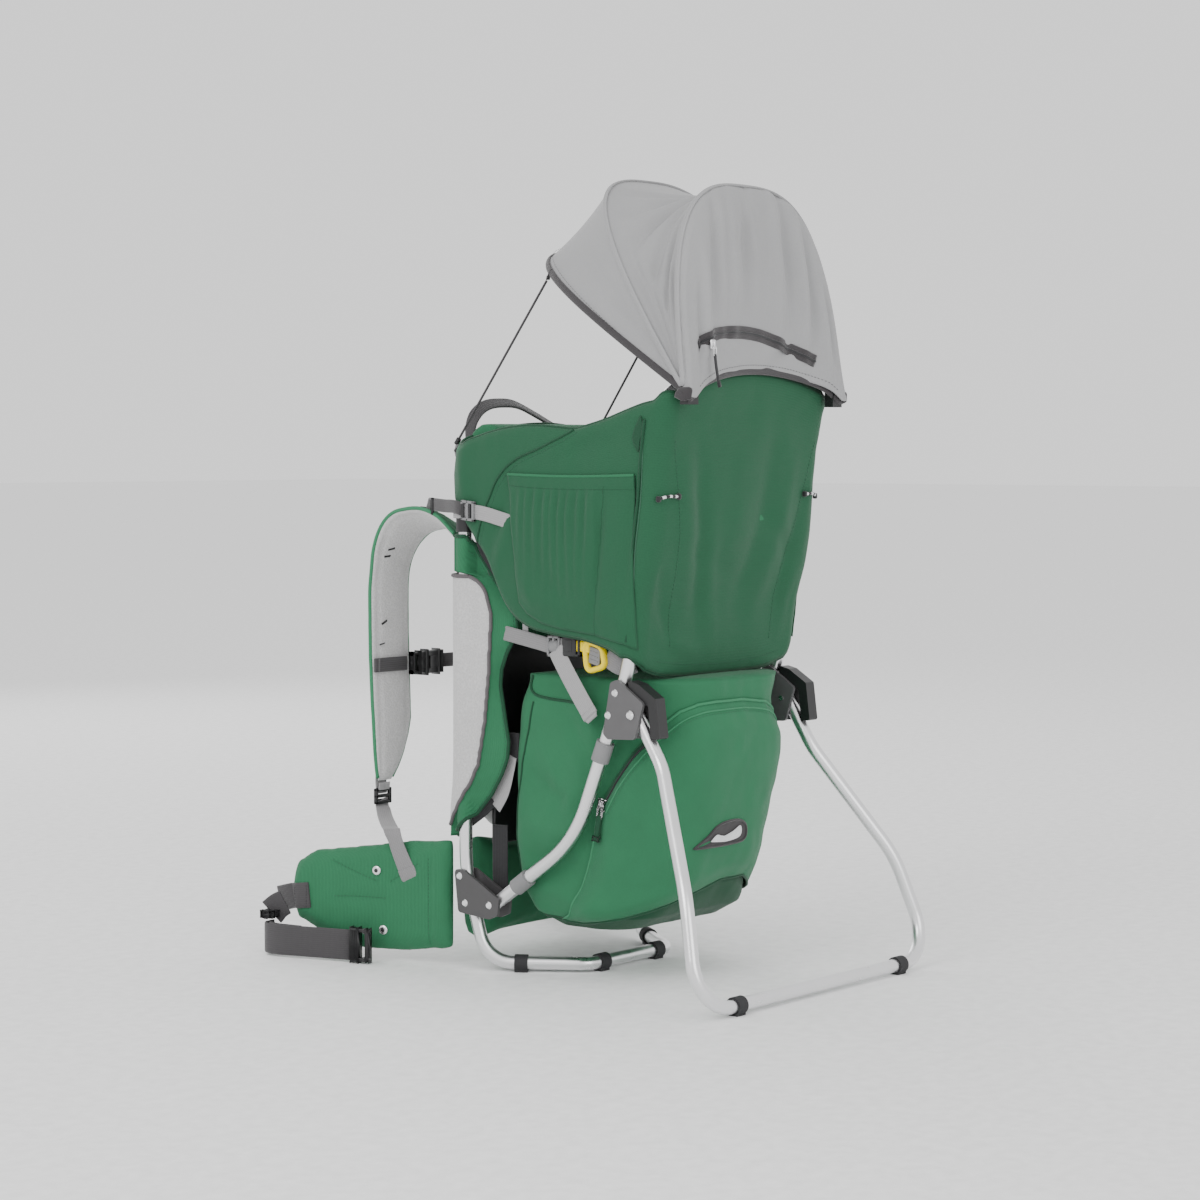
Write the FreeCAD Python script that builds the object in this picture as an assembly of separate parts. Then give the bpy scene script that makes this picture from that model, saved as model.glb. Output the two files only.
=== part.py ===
"""Child carrier backpack on a tubular frame: kickstand, sun canopy, child seat and harness.

Millimetres. +Z is up, +X is the wearer's left, +Y points away from the wearer's back.
Shapes are laid out from a datum on the floor between the two foremost foot pads, and
`save` shifts them so that the origin lies on the floor under the middle of the footprint.
"""
import FreeCAD
import Part
import math
import os

V = FreeCAD.Vector

# ---- overall layout -------------------------------------------------------------
ORIGIN_Y = 20.9          # datum to origin, along Y
SIDES = ((1, "left"), (-1, "right"))

# ---- frame tube -----------------------------------------------------------------
TUBE_R = 8.0
TUBE_WALL = 1.5
FRAME_X = 146.0          # centre-line of the side tubes
FRONT_Y = -62.0          # upright part of the front tube
FRONT_TOP_Z = 632.0
GROUND_Z = 11.0          # centre-line height of a tube that lies on its pads
FOOT_TURN_Y = -28.0      # where the upright turns into the ground loop
FOOT_BAR_Y = 74.0
FOOT_BAR_X = 74.0
CROSSBAR_Z = 548.0
PIVOT = V(0, 206, 326)   # kickstand hinge line
KICK_BAR_Y = 362.0
KICK_HALF = 232.0
PIN_R = 3.0
PIN_CLEARANCE = 0.05
RIVET_R = 2.5
RIVET_HEAD_R = 4.5
RIVET_HEAD_H = 1.6
PLATE = 4.0              # bracket plate thickness
PLATE_GAP = 0.4          # bracket plate to tube surface
FREE = 0.6               # clearance kept round soft parts

# ---- cabin and bags -------------------------------------------------------------
SHELL_X = 160.0          # outer half width of the cabin
SHELL_WALL = 3.5
PACK_X = 131.0           # half width of the lower bag
POCKET_X = 104.0
WEB = 2.0                # webbing thickness

# ---- canopy ---------------------------------------------------------------------
HINGE = V(0, 277, 697)   # line through both bow sockets
BOW_X = 150.0
BOW_R = 3.0
REAR_BOW_INSET = 6.5     # fabric's outer face to the rod's centre-line
FRONT_BOW_INSET = 13.0
EYE_R = 5.0              # eye at each foot of a bow
EYE_WIDTH = 5.6
EYE_BORE = 2.05
REAR_BOW = (7.0, 241.0)          # lean forward in degrees, height along the plane
FRONT_BOW = (34.9, 308.0)
VISOR_RIM = (57.5, 314.0)
ARCH_POWER = 3.0
RIM_POWER = 3.6
CANOPY_THICK = 2.5
ARCH_START = 0.012       # keeps the fabric just off the hinge line, in radians

# ---- shoulder and hip harness ---------------------------------------------------
STRAP_X = (74.0, 140.0)
STRAP_T = 13.0
TIP_X = 126.0             # middle of the strap's narrow lower end
STERNUM_Y = -219.4        # chest webbing, just off the strap's inner face
BACK_PANEL_X = 134.0      # inner face of the green panels beside the back pads
HIP_WEB = 38.0
SMALL_WEB = 20.0
FIN_T = 15.0
CORD_D = 3.0

os.makedirs("parts", exist_ok=True)


def save(name, shapes):
    """Write one node; a list of solids becomes one compound."""
    shape = shapes if isinstance(shapes, Part.Shape) else Part.Compound(shapes)
    moved = shape.copy()
    moved.translate(V(0, -ORIGIN_Y, 0))
    moved.exportStep("parts/" + name + ".step")


def mirrored(shape):
    """The same shape on the wearer's right."""
    return shape.mirror(V(0, 0, 0), V(1, 0, 0))


def on_side(shape, side):
    return shape if side > 0 else mirrored(shape)


def both_sides(shapes):
    return list(shapes) + [mirrored(s) for s in shapes]


def box(x, y, z):
    """Box between the low and high value of each axis."""
    return Part.makeBox(x[1] - x[0], y[1] - y[0], z[1] - z[0], V(x[0], y[0], z[0]))


def soft_box(x, y, z, r):
    """Box with every edge rounded."""
    solid = box(x, y, z)
    return solid.makeFillet(r, solid.Edges)


def rod(start, end, r):
    return Part.makeCylinder(r, (end - start).Length, start, end - start)


def bent_path(points, radii):
    """Straight runs joined by tangent arcs; one radius for each inner point."""
    edges = []
    here = points[0]
    for i in range(1, len(points) - 1):
        back = (points[i - 1] - points[i]).normalize()
        ahead = (points[i + 1] - points[i]).normalize()
        half = back.getAngle(ahead) / 2.0
        cut = radii[i - 1] / math.tan(half)
        start = points[i] + back * cut
        end = points[i] + ahead * cut
        middle = (back + ahead).normalize()
        middle = points[i] + middle * (radii[i - 1] / math.sin(half) - radii[i - 1])
        if (start - here).Length > 1e-6:
            edges.append(Part.makeLine(here, start))
        edges.append(Part.Arc(start, middle, end).toShape())
        here = end
    edges.append(Part.makeLine(here, points[-1]))
    return Part.Wire(edges)


def sweep_round(path, r):
    """Solid round bar along a path."""
    first = path.Edges[0]
    start = first.valueAt(first.FirstParameter)
    along = first.tangentAt(first.FirstParameter)
    ring = Part.Wire(Part.makeCircle(r, start, along))
    return path.makePipeShell([ring], True, False)


def hollow_tube(points, radii, r=TUBE_R, wall=TUBE_WALL):
    path = bent_path(points, radii)
    return sweep_round(path, r).cut(sweep_round(path, r - wall))


def mirror_points(points):
    """The other half of a symmetric route, listed back towards its start."""
    return [V(-p.x, p.y, p.z) for p in reversed(points)]


def polygon_x(outline, x):
    """Outline of (y, z) points extruded between two X values."""
    corners = [V(x[0], y, z) for y, z in outline]
    face = Part.Face(Part.makePolygon(corners + [corners[0]]))
    return face.extrude(V(x[1] - x[0], 0, 0))


def rounded_x(outline, x, r):
    """As polygon_x, with the edges that run along X rounded."""
    solid = polygon_x(outline, x)
    along = [e for e in solid.Edges if abs(e.tangentAt(e.FirstParameter).x) > 0.99]
    return solid.makeFillet(r, along)


def sweep_band(path, wide, thickness):
    """Band swept along a path that runs down one of its edges; `wide` reaches the other edge."""
    first = path.Edges[0]
    start = first.valueAt(first.FirstParameter)
    along = first.tangentAt(first.FirstParameter)
    normal = along.cross(wide).normalize() * (thickness / 2.0)
    low = start - normal
    high = start + normal
    ring = Part.makePolygon([low, low + wide, high + wide, high, low])
    return path.makePipeShell([ring], True, False)


def band_yz(route, x, thickness):
    """Flat band: a (y, z) route given a thickness and extruded across X."""
    path = bent_path([V(x[0], y, z) for y, z, r in route], [r for y, z, r in route[1:-1]])
    return sweep_band(path, V(x[1] - x[0], 0, 0), thickness)


def flat_ring(centre, wide, thin):
    """Narrow rectangle from its centre and two half sizes."""
    corners = [centre - wide - thin, centre + wide - thin, centre + wide + thin, centre - wide + thin]
    return Part.makePolygon(corners + [corners[0]])


def band_xy(route, z, thickness):
    """Flat band on edge: an (x, y) route given a thickness and standing between two heights."""
    path = bent_path([V(x, y, z[0]) for x, y, r in route], [r for x, y, r in route[1:-1]])
    return sweep_band(path, V(0, 0, z[1] - z[0]), thickness)


def rounded_ring(half, y, z, front_r, rear_r):
    """Closed level outline with its own corner radius at the front and the rear."""
    y0, y1 = y
    arcs = []
    for cx, cy, r, a in (
        (half - rear_r, y1 - rear_r, rear_r, 0),
        (-half + rear_r, y1 - rear_r, rear_r, 90),
        (-half + front_r, y0 + front_r, front_r, 180),
        (half - front_r, y0 + front_r, front_r, 270),
    ):
        turn = math.radians(a)
        ends = [V(cx + r * math.cos(turn + t), cy + r * math.sin(turn + t), z)
                for t in (0, math.pi / 4, math.pi / 2)]
        arcs.append(ends)
    edges = []
    for i, (a, m, b) in enumerate(arcs):
        edges.append(Part.Arc(a, m, b).toShape())
        edges.append(Part.makeLine(b, arcs[(i + 1) % 4][0]))
    return Part.Wire(edges)


def stack(sections, inset=0.0):
    """Loft of (half width, y0, y1, z, front radius, rear radius) outlines."""
    rings = [rounded_ring(h - inset, (y0 + inset, y1 - inset), z, fr - inset / 2, rr - inset / 2)
             for h, y0, y1, z, fr, rr in sections]
    return Part.makeLoft(rings, True, True)


# ---- frame ----------------------------------------------------------------------
def front_frame_route():
    half = [
        V(FRAME_X, FRONT_Y, FRONT_TOP_Z),
        V(FRAME_X, FRONT_Y, 118),
        V(FRAME_X, FOOT_TURN_Y, GROUND_Z),
        V(FOOT_BAR_X, FOOT_BAR_Y, GROUND_Z),
    ]
    return half + mirror_points(half), [180, 42, 24, 24, 42, 180]


def rear_frame_route():
    half = [
        V(FRAME_X, -24, 76),
        V(FRAME_X, 112, 172),
        V(FRAME_X, 199, 392),
        V(FRAME_X, 203, 540),
        V(FRAME_X, 238, 706),
    ]
    return half + mirror_points(half), [150, 200, 300, 60, 60, 300, 200, 150]


def kickstand_route():
    half = [
        V(FRAME_X, PIVOT.y - 7, PIVOT.z + 12),
        V(FRAME_X, 243, 268),
        V(206, 325, 134),
        V(KICK_HALF, KICK_BAR_Y, GROUND_Z),
    ]
    return half + mirror_points(half), [70, 160, 48, 48, 160, 70]


def along_rear_tube(t):
    """Point and direction on the straight run through the upper bracket, t from 0 to 1."""
    a = V(FRAME_X, 112, 172)
    b = V(FRAME_X, 199, 392)
    return a + (b - a) * t, (b - a).normalize()


def bracket_rivets():
    """(centre, carrier) of each rivet on the wearer's left."""
    low, along = along_rear_tube(0.69)
    high, along = along_rear_tube(0.81)
    return {
        "upper": [low, high],
        "lower": [V(FRAME_X, FRONT_Y, 114), V(FRAME_X, -53, 82), V(FRAME_X, -14, 83)],
    }


def cross_hole(centre, r=RIVET_R):
    return Part.makeCylinder(r, 60, V(centre.x - 30, centre.y, centre.z), V(1, 0, 0))


def drilled(shape, centres, r=RIVET_R):
    for c in centres:
        shape = shape.cut(cross_hole(c, r))
    return shape


def frame_tubes():
    rivets = bracket_rivets()
    front = hollow_tube(*front_frame_route())
    rear = hollow_tube(*rear_frame_route())
    front_holes = rivets["lower"][:2]
    rear_holes = rivets["upper"] + rivets["lower"][2:]
    for side in (1, -1):
        front = drilled(front, [V(side * c.x, c.y, c.z) for c in front_holes])
        rear = drilled(rear, [V(side * c.x, c.y, c.z) for c in rear_holes])
    save("front_frame_tube", front)
    save("rear_frame_tube", rear)


def crossbar():
    """Bar between the uprights, with a moulded saddle on each end."""
    end = FRAME_X - TUBE_R - 1.0
    bar = rod(V(-end, FRONT_Y, CROSSBAR_Z), V(end, FRONT_Y, CROSSBAR_Z), TUBE_R - 1)
    bar = bar.cut(rod(V(-end, FRONT_Y, CROSSBAR_Z), V(end, FRONT_Y, CROSSBAR_Z), TUBE_R - 2.5))
    save("front_crossbar", bar)
    upright = Part.makeCylinder(TUBE_R, 80, V(FRAME_X, FRONT_Y, CROSSBAR_Z - 40), V(0, 0, 1))
    block = Part.makeCylinder(TUBE_R + 3, 34, V(FRAME_X, FRONT_Y, CROSSBAR_Z - 17), V(0, 0, 1))
    spigot = rod(V(end - 24, FRONT_Y, CROSSBAR_Z), V(FRAME_X, FRONT_Y, CROSSBAR_Z), TUBE_R + 2)
    bore = rod(V(end - 30, FRONT_Y, CROSSBAR_Z), V(end, FRONT_Y, CROSSBAR_Z), TUBE_R - 1)
    saddle = block.fuse(spigot).cut(bore).cut(upright).removeSplitter()
    save("crossbar_saddles", both_sides([saddle]))


def plate_pair(outline, centres):
    """Outer and inner bracket plates joined by the rivets that pass through them."""
    gap = TUBE_R + PLATE_GAP
    outer = rounded_x(outline, (FRAME_X + gap, FRAME_X + gap + PLATE), 5)
    inner = rounded_x(outline, (FRAME_X - gap - PLATE, FRAME_X - gap), 5)
    return [drilled(outer, centres), drilled(inner, centres)]


def rivet(centre):
    reach = TUBE_R + PLATE_GAP + PLATE
    shank = Part.makeCylinder(RIVET_R, 2 * reach, V(centre.x - reach, centre.y, centre.z), V(1, 0, 0))
    heads = []
    for side in (1, -1):
        start = V(centre.x + side * reach, centre.y, centre.z)
        heads.append(Part.makeCone(RIVET_HEAD_R, RIVET_HEAD_R - 1.5, RIVET_HEAD_H, start, V(side, 0, 0)))
    return shank.fuse(heads).removeSplitter()


def brackets():
    centres = bracket_rivets()
    lower = [(-70, 122), (-55, 122), (2, 92), (0, 72), (-14, 66), (-64, 70)]
    upper = [(165, 302), (172, 296), (212, 298), (225, 340), (186, 366), (176, 362)]
    pin_hole = cross_hole(V(FRAME_X, PIVOT.y, PIVOT.z), PIN_R)
    save("lower_brackets", both_sides(plate_pair(lower, centres["lower"])))
    save("upper_brackets", both_sides([p.cut(pin_hole) for p in plate_pair(upper, centres["upper"])]))
    rivets = [rivet(c) for group in centres.values() for c in group]
    save("frame_rivets", both_sides(rivets))
    # Moulded cover round the rear of the hinge, open below for the leg.
    half = TUBE_R + PLATE_GAP
    outline = [(202, 352), (196, 366), (214, 362), (240, 346), (246, 300), (226, 300)]
    inside = [(190, 340), (214, 345), (229, 337), (234, 290), (190, 290)]
    wall = rounded_x(outline, (FRAME_X - half, FRAME_X + half), 3)
    wall = wall.cut(polygon_x(inside, (FRAME_X - half - 1, FRAME_X + half + 1)))
    wall = wall.cut(polygon_x([(150, 290), (200, 290), (200, 380), (150, 380)], (100, 200)))
    save("hinge_covers", both_sides([wall]))


def ring_on(point, along, r_out, length):
    """Collar with a bore that matches the tube."""
    start = point - along * (length / 2.0)
    outer = Part.makeCylinder(r_out, length, start, along)
    return outer.cut(Part.makeCylinder(TUBE_R, length, start, along))


def sleeves():
    low_dir = (V(0, 136, 96)).normalize()
    low = V(FRAME_X, -24, 76) + low_dir * 66
    high, high_dir = along_rear_tube(0.49)
    rings = [ring_on(low, low_dir, TUBE_R + 2.4, 24), ring_on(high, high_dir, TUBE_R + 2.8, 24)]
    save("tube_sleeves", both_sides(rings))


def foot_pad(point, along):
    """Clip round a ground tube with a flat sole on the floor."""
    collar = ring_on(point, along, TUBE_R + 2.2, 16)
    across = V(-along.y, along.x, 0)
    corner = V(point.x, point.y, 0) - along * 8 - across * 6
    sole = Part.makePolygon([corner, corner + along * 16, corner + along * 16 + across * 12,
                             corner + across * 12, corner])
    sole = Part.Face(sole).extrude(V(0, 0, GROUND_Z))
    bore = Part.makeCylinder(TUBE_R + PIN_CLEARANCE, 30, point - along * 15, along)
    return collar.fuse(sole).cut(bore).removeSplitter()


def foot_pads():
    corner = V(FRAME_X, FOOT_TURN_Y, GROUND_Z)
    along = (V(FOOT_BAR_X, FOOT_BAR_Y, GROUND_Z) - corner).normalize()
    first = corner + along * 42
    second = V(FOOT_BAR_X - 22, FOOT_BAR_Y, GROUND_Z)
    save("front_foot_pads", both_sides([foot_pad(first, along), foot_pad(second, V(1, 0, 0))]))
    rear = foot_pad(V(160, KICK_BAR_Y, GROUND_Z), V(1, 0, 0))
    save("kickstand_foot_pads", both_sides([rear]))


def kickstand():
    tube = hollow_tube(*kickstand_route())
    reach = TUBE_R + PLATE_GAP + PLATE + 1
    pins = []
    for side in (1, -1):
        centre = V(side * FRAME_X, PIVOT.y, PIVOT.z)
        tube = tube.cut(cross_hole(centre, PIN_R + PIN_CLEARANCE))
        shank = Part.makeCylinder(PIN_R, 2 * reach, V(centre.x - reach, centre.y, centre.z), V(1, 0, 0))
        head = Part.makeCone(5.5, 3.5, 2.2, V(centre.x + side * reach, centre.y, centre.z), V(side, 0, 0))
        pins.append(shank.fuse(head).removeSplitter())
    save("kickstand_tube", tube)
    save("kickstand_pins", pins)


# ---- back system ----------------------------------------------------------------
def back_system():
    save("back_plate", soft_box((-118, 118), (-46, -40), (150, 540), 2.5))
    outline = [(0, 505), (138, 505), (138, 265), (112, 200), (64, 162), (0, 162)]
    upright = Part.makeCylinder(TUBE_R + FREE, 500, V(FRAME_X, FRONT_Y, 60), V(0, 0, 1))
    for side, word in SIDES:
        corners = [V(18 + x, 0, z) for x, z in outline]
        face = Part.Face(Part.makePolygon(corners + [corners[0]]))
        face.translate(V(0, -88, 0))
        pad = face.extrude(V(0, 40, 0))
        pad = pad.makeFillet(9, pad.Edges).cut(upright)
        save("back_pad_" + word, on_side(pad, side))
    panel = polygon_x([(-44, 508), (4, 476), (30, 440), (31, 412), (12, 384), (5, 356), (10, 322),
                       (15, 294), (13, 259), (-14, 209), (-44, 182)], (BACK_PANEL_X, BACK_PANEL_X + 4))
    save("back_side_panels", both_sides([panel]))
    lumbar = polygon_x([(-98, 152), (-74, 158), (-74, 24), (-98, 34), (-108, 90)], (-113, 113))
    save("lumbar_pad", lumbar.makeFillet(4, lumbar.Edges))


# ---- shoulder harness -----------------------------------------------------------
STRAP_ROUTE = [(-92, 516, 0), (-132, 546, 30), (-196, 540, 40), (-230, 482, 60), (-229, 380, 300),
               (-221, 290, 300), (-222, 212, 0)]


def shoulder_straps():
    """Padded straps; below the chest webbing they narrow towards a tip near the outer edge."""
    band = band_yz(STRAP_ROUTE, STRAP_X, STRAP_T)
    inner = [(STRAP_X[0] - 20, 320), (STRAP_X[0] - 20, 190), (TIP_X - 13, 190), (STRAP_X[0], 290),
             (STRAP_X[0], 320)]
    outer = [(STRAP_X[1] + 20, 260), (STRAP_X[1] + 20, 190), (TIP_X + 9, 190), (STRAP_X[1], 240),
             (STRAP_X[1], 260)]
    strap = band
    for outline in (inner, outer):
        taper = [V(x, -400, z) for x, z in outline]
        strap = strap.cut(Part.Face(Part.makePolygon(taper + [taper[0]])).extrude(V(0, 300, 0)))
    for side, word in SIDES:
        save("shoulder_strap_" + word, on_side(strap, side))


def strap_hardware():
    middle = sum(STRAP_X) / 2.0
    half = SMALL_WEB / 2.0
    # Load adjusters: from the strap's crown back to a buckle on the cabin's side.
    out = SHELL_X + 3.5
    adjuster = band_xy([(middle + 13, -152, 0), (out - 14, -92, 40), (out, -62, 40), (out, -52, 0)],
                       (554, 570), WEB)
    ladder = box((out - 2.5, out + 3.5), (-51, -30), (545, 569))
    ladder = ladder.cut(box((out + 1, out + 4), (-47, -34), (548, 566)))
    tail = polygon_x([(-29, 564), (-29, 547), (36, 533), (37, 551)], (out - 2.5, out - 0.5))
    save("load_adjuster_webbing", both_sides([adjuster, tail]))
    # Lower adjusters: ladder lock under the strap's tip and webbing down to the hip fin.
    lock = box((TIP_X - 14, TIP_X + 14), (-229, -216), (186, 206))
    lock = lock.cut(box((TIP_X - half - 0.5, TIP_X + half + 0.5), (-232, -210), (193, 199)))
    save("strap_buckles", both_sides([ladder, lock]))
    along = fin_point(1, 0, 0) - fin_point(0, 0, 0)
    outward = fin_point(0, 0, 1) - fin_point(0, 0, 0)
    top = flat_ring(V(TIP_X, -223, 184), V(-half, 0, 0), V(0, WEB / 2, 0))
    end = flat_ring(fin_point(64, 104, 1.8), (along * -0.9 + V(0, 0, 0.45)) * half, outward * (WEB / 2))
    knee = flat_ring(fin_point(88, 162, 5), along * -half, (outward + V(0, 0, 1)) * (WEB / 2))
    webbing = Part.makeLoft([top, knee, end], True, True)
    for side, word in SIDES:
        save("strap_webbing_" + word, on_side(webbing, side))


def sternum_strap():
    """Chest strap between the shoulder straps; its buckle sits off centre, on the left."""
    z = (352, 370)
    near = (STERNUM_Y, STERNUM_Y + WEB)
    left = box((88, STRAP_X[1] + 4), near, z)
    right = box((-STRAP_X[1] - 4, 29), near, z)
    save("sternum_webbing", [left, right])
    low = STERNUM_Y + WEB + 0.6
    socket = box((30, 60), (low - 2, low + 9), (346, 376))
    socket = socket.cut(box((42, 61), (low, low + 7), (350, 372)))
    save("sternum_socket", socket)
    tongue = box((61, 85), (low, low + 9), (347, 375))
    prongs = [box((44, 62), (low + 1, low + 6), zz) for zz in ((352, 357), (365, 370))]
    save("sternum_tongue", tongue.fuse(prongs).removeSplitter())


def grab_handle():
    """Carry loop of stiff webbing over the front rim, lying over a little to one side."""
    line = [V(100, -94, 632), V(97, -98, 656), V(62, -102, 688), V(8, -104, 687), V(-84, -98, 652),
            V(-100, -94, 632)]
    path = bent_path(line, [14, 20, 40, 10])
    first = path.Edges[0]
    start = first.valueAt(first.FirstParameter)
    along = first.tangentAt(first.FirstParameter)
    wide = V(0, 1, 0).cross(along).normalize().cross(along).normalize() * 8
    thin = along.cross(wide).normalize() * 1.5
    save("grab_handle", path.makePipeShell([flat_ring(start, wide, thin)], True, False))


# ---- hip belt -------------------------------------------------------------------
FIN_HINGE = V(152, -70, 0)
FIN_SPLAY = 15.0
FIN_OUTLINE = [(0, 22), (60, 10), (130, 8), (195, 26), (228, 46), (236, 84), (228, 118), (200, 136),
               (60, 156), (0, 157)]


def fin_point(s, z, out):
    """Point `s` along the splayed fin, `out` from its outer face."""
    a = math.radians(FIN_SPLAY)
    along = V(math.sin(a), -math.cos(a), 0)
    outward = V(math.cos(a), math.sin(a), 0)
    return V(FIN_HINGE.x, FIN_HINGE.y, z) + along * s + outward * out


def hip_belt():
    outward = fin_point(0, 0, 1) - fin_point(0, 0, 0)
    corners = [fin_point(6 + s, z, -FIN_T) for s, z in FIN_OUTLINE]
    fin = Part.Face(Part.makePolygon(corners + [corners[0]])).extrude(outward * FIN_T)
    fin = fin.makeFillet(4, fin.Edges)
    # Webbing: sewn patch, then down round the tip and back along the outside, on edge.
    patch = [fin_point(s, z, 0.6) for s, z in ((212, 56), (250, 52), (250, 92), (212, 88))]
    patch = Part.Face(Part.makePolygon(patch + [patch[0]])).extrude(outward * WEB)
    tip = fin_point(252, 0, 4)
    turn = fin_point(262, 0, 18)
    back = fin_point(240, 0, 32)
    end = fin_point(136, 0, 26)
    loop = band_xy([(tip.x, tip.y, 0), (turn.x, turn.y, 10), (back.x, back.y, 16), (end.x, end.y, 0)],
                   (3.5, 3.5 + HIP_WEB), WEB)
    lock = [fin_point(s, z, -2) for s, z in ((251, 42), (269, 42), (269, 54), (251, 54))]
    lock = Part.Face(Part.makePolygon(lock + [lock[0]])).extrude(outward * 22)
    plug = [fin_point(s, 2, 22) for s in (108, 134)]
    across = outward * 9
    plug_face = Part.makePolygon([plug[0], plug[1], plug[1] + across, plug[0] + across, plug[0]])
    plug = Part.Face(plug_face).extrude(V(0, 0, 42))
    window = [fin_point(s, 8, 20) for s in (112, 118)]
    window_face = Part.makePolygon([window[0], window[1], window[1] + outward * 14,
                                    window[0] + outward * 14, window[0]])
    plug = plug.cut(Part.Face(window_face).extrude(V(0, 0, 30)))
    for side, word in SIDES:
        save("hip_fin_" + word, on_side(fin, side))
        save("hip_webbing_" + word, [on_side(patch, side), on_side(loop, side)])
        save("hip_buckle_" + word, [on_side(lock, side), on_side(plug, side)])


# ---- cabin ----------------------------------------------------------------------
CABIN_SECTIONS = [
    (SHELL_X, -84, 224, 360, 24, 36),
    (SHELL_X, -84, 237, 446, 24, 36),
    (SHELL_X, -84, 249, 560, 24, 36),
    (SHELL_X, -82, 259, 650, 25, 36),
    (SHELL_X, -70, 278, 730, 26, 36),
]


def cabin():
    outer = stack(CABIN_SECTIONS)
    inner = stack([(h, y0, y1, z + dz, fr, rr) for (h, y0, y1, z, fr, rr), dz
                   in zip(CABIN_SECTIONS, (-5, 0, 0, 0, 5))], SHELL_WALL)
    side_view = [
        (-100, 572), (-100, 637), (-62, 638), (-27, 648), (16, 656), (64, 656), (110, 652), (154, 664),
        (213, 681), (236, 689), (262, 697), (300, 697), (300, 368), (216, 372), (200, 401),
        (128, 409), (74, 418), (45, 438), (34, 452), (2, 499), (-12, 556), (-24, 572),
    ]
    shell = outer.cut(inner).common(polygon_x(side_view, (-200, 200)))
    save("cabin_shell", shell)
    save("front_wall_pad", soft_box((-126, 126), (-38, -22), (392, 604), 6))
    chin = rounded_x([(-76, 612), (-76, 650), (-62, 661), (-42, 661), (-30, 650), (-30, 612)], (-122, 122), 5)
    save("chin_pad", chin)
    save("headrest_pad", soft_box((-122, 122), (214, 232), (520, 692), 7))


def child_seat():
    seat = [(-14, 402), (10, 388), (110, 384), (147, 394), (147, 419), (100, 408), (20, 410), (-14, 424)]
    save("seat_pad", rounded_x(seat, (-58, 58), 4))
    strap = band_yz([(-19, 396, 0), (-19, 470, 200), (-18, 560, 0)], (-12.5, 12.5), WEB)
    save("seat_lift_strap", strap)


def child_harness():
    route = [(211, 620, 0), (176, 590, 40), (156, 520, 60), (164, 455, 40), (206, 440, 0)]
    straps = [band_yz(route, x, WEB) for x in ((30, 50), (-50, -30))]
    save("child_harness_straps", straps)
    buckle = soft_box((-56, 56), (147, 154.5), (508, 530), 2)
    save("child_harness_buckle", buckle)


SIDE_X = (139.0, 151.0)


def side_entry():
    low, high = SIDE_X
    socket = box((low, high), (96, 122), (388, 414)).cut(box((low + 2, high - 2), (108, 123), (391, 411)))
    adjuster = box((low + 1, high - 1), (70, 90), (386, 412))
    adjuster = adjuster.cut(box((low - 1, high + 1), (76, 84), (390, 408)))
    save("side_entry_sockets", both_sides([socket, adjuster]))
    middle = (low + high) / 2.0
    link = polygon_x([(91, 391), (95, 391), (95, 409), (91, 409)], (middle - 1, middle + 1))
    lead = polygon_x([(69, 390), (69, 408), (-30, 424), (-34, 408)], (middle - 1, middle + 1))
    tail = polygon_x([(74, 384), (98, 380), (152, 318), (132, 310)], (middle + 1, middle + 3))
    save("side_entry_straps", both_sides([link, lead, tail]))
    for side, word in SIDES:
        frame = polygon_x([(124, 412), (158, 404), (162, 376), (128, 368)], (low, high))
        window = polygon_x([(133, 402), (151, 398), (153, 383), (136, 377)], (low - 1, high + 1))
        prong = box((low + 2.5, high - 2.5), (109, 125), (394, 408))
        tongue = frame.cut(window).fuse(prong).removeSplitter()
        save("side_entry_tongue_" + word, on_side(tongue, side))


# ---- lower bag ------------------------------------------------------------------
PACK_SECTIONS = [
    (108, 52, 148, 62, 20, 44),
    (124, 22, 176, 78, 20, 62),
    (130, 6, 202, 111, 20, 92),
    (PACK_X, 2, 218, 150, 20, 96),
    (PACK_X, 2, 232, 210, 20, 98),
    (PACK_X, 4, 246, 270, 20, 98),
    (PACK_X, 8, 252, 330, 20, 98),
    (128, 12, 252, 362, 20, 94),
]
POCKET_DEPTH = 14.0


def lower_bag():
    outer = stack(PACK_SECTIONS)
    core_sections = [(h, y0, y1 - POCKET_DEPTH, z, fr, rr) for h, y0, y1, z, fr, rr in PACK_SECTIONS]
    save("lower_pack", stack(core_sections))
    grown = stack([(h + FREE, y0 - FREE, y1 - POCKET_DEPTH + FREE, z, fr, rr)
                   for h, y0, y1, z, fr, rr in PACK_SECTIONS])
    window = box((-POCKET_X, POCKET_X), (120, 300), (112, 338))
    along_y = [e for e in window.Edges if abs(e.tangentAt(e.FirstParameter).y) > 0.99]
    window = window.makeFillet(40, along_y)
    save("rear_pocket", outer.cut(grown).common(window))


def zip_sliders():
    """Pocket slider at the lower end of its run, and canopy slider on the back panel."""
    slider = soft_box((130, 136), (140, 148), (207, 221), 1.5)
    pull = box((132, 134), (142, 146), (180, 207.5))
    save("pocket_zip_slider", slider.fuse(pull).removeSplitter())
    slider = soft_box((108, 118), (283.5, 290), (738, 748), 1.5)
    pull = box((111, 115), (286, 288), (704, 739))
    save("canopy_zip_slider", slider.fuse(pull).removeSplitter())


# ---- canopy ---------------------------------------------------------------------
def arch_point(plane, t, power, inset=0.0, half=BOW_X):
    """Point on an arch that stands on the hinge line; t runs from 0 to pi."""
    lean = math.radians(plane[0])
    c = math.cos(t)
    s = math.sin(t)
    x = math.copysign(abs(c) ** (2.0 / power), c) * (half - inset)
    rise = abs(s) ** (2.0 / power) * (plane[1] - inset)
    return V(x, HINGE.y - math.sin(lean) * rise, HINGE.z + math.cos(lean) * rise)


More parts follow.
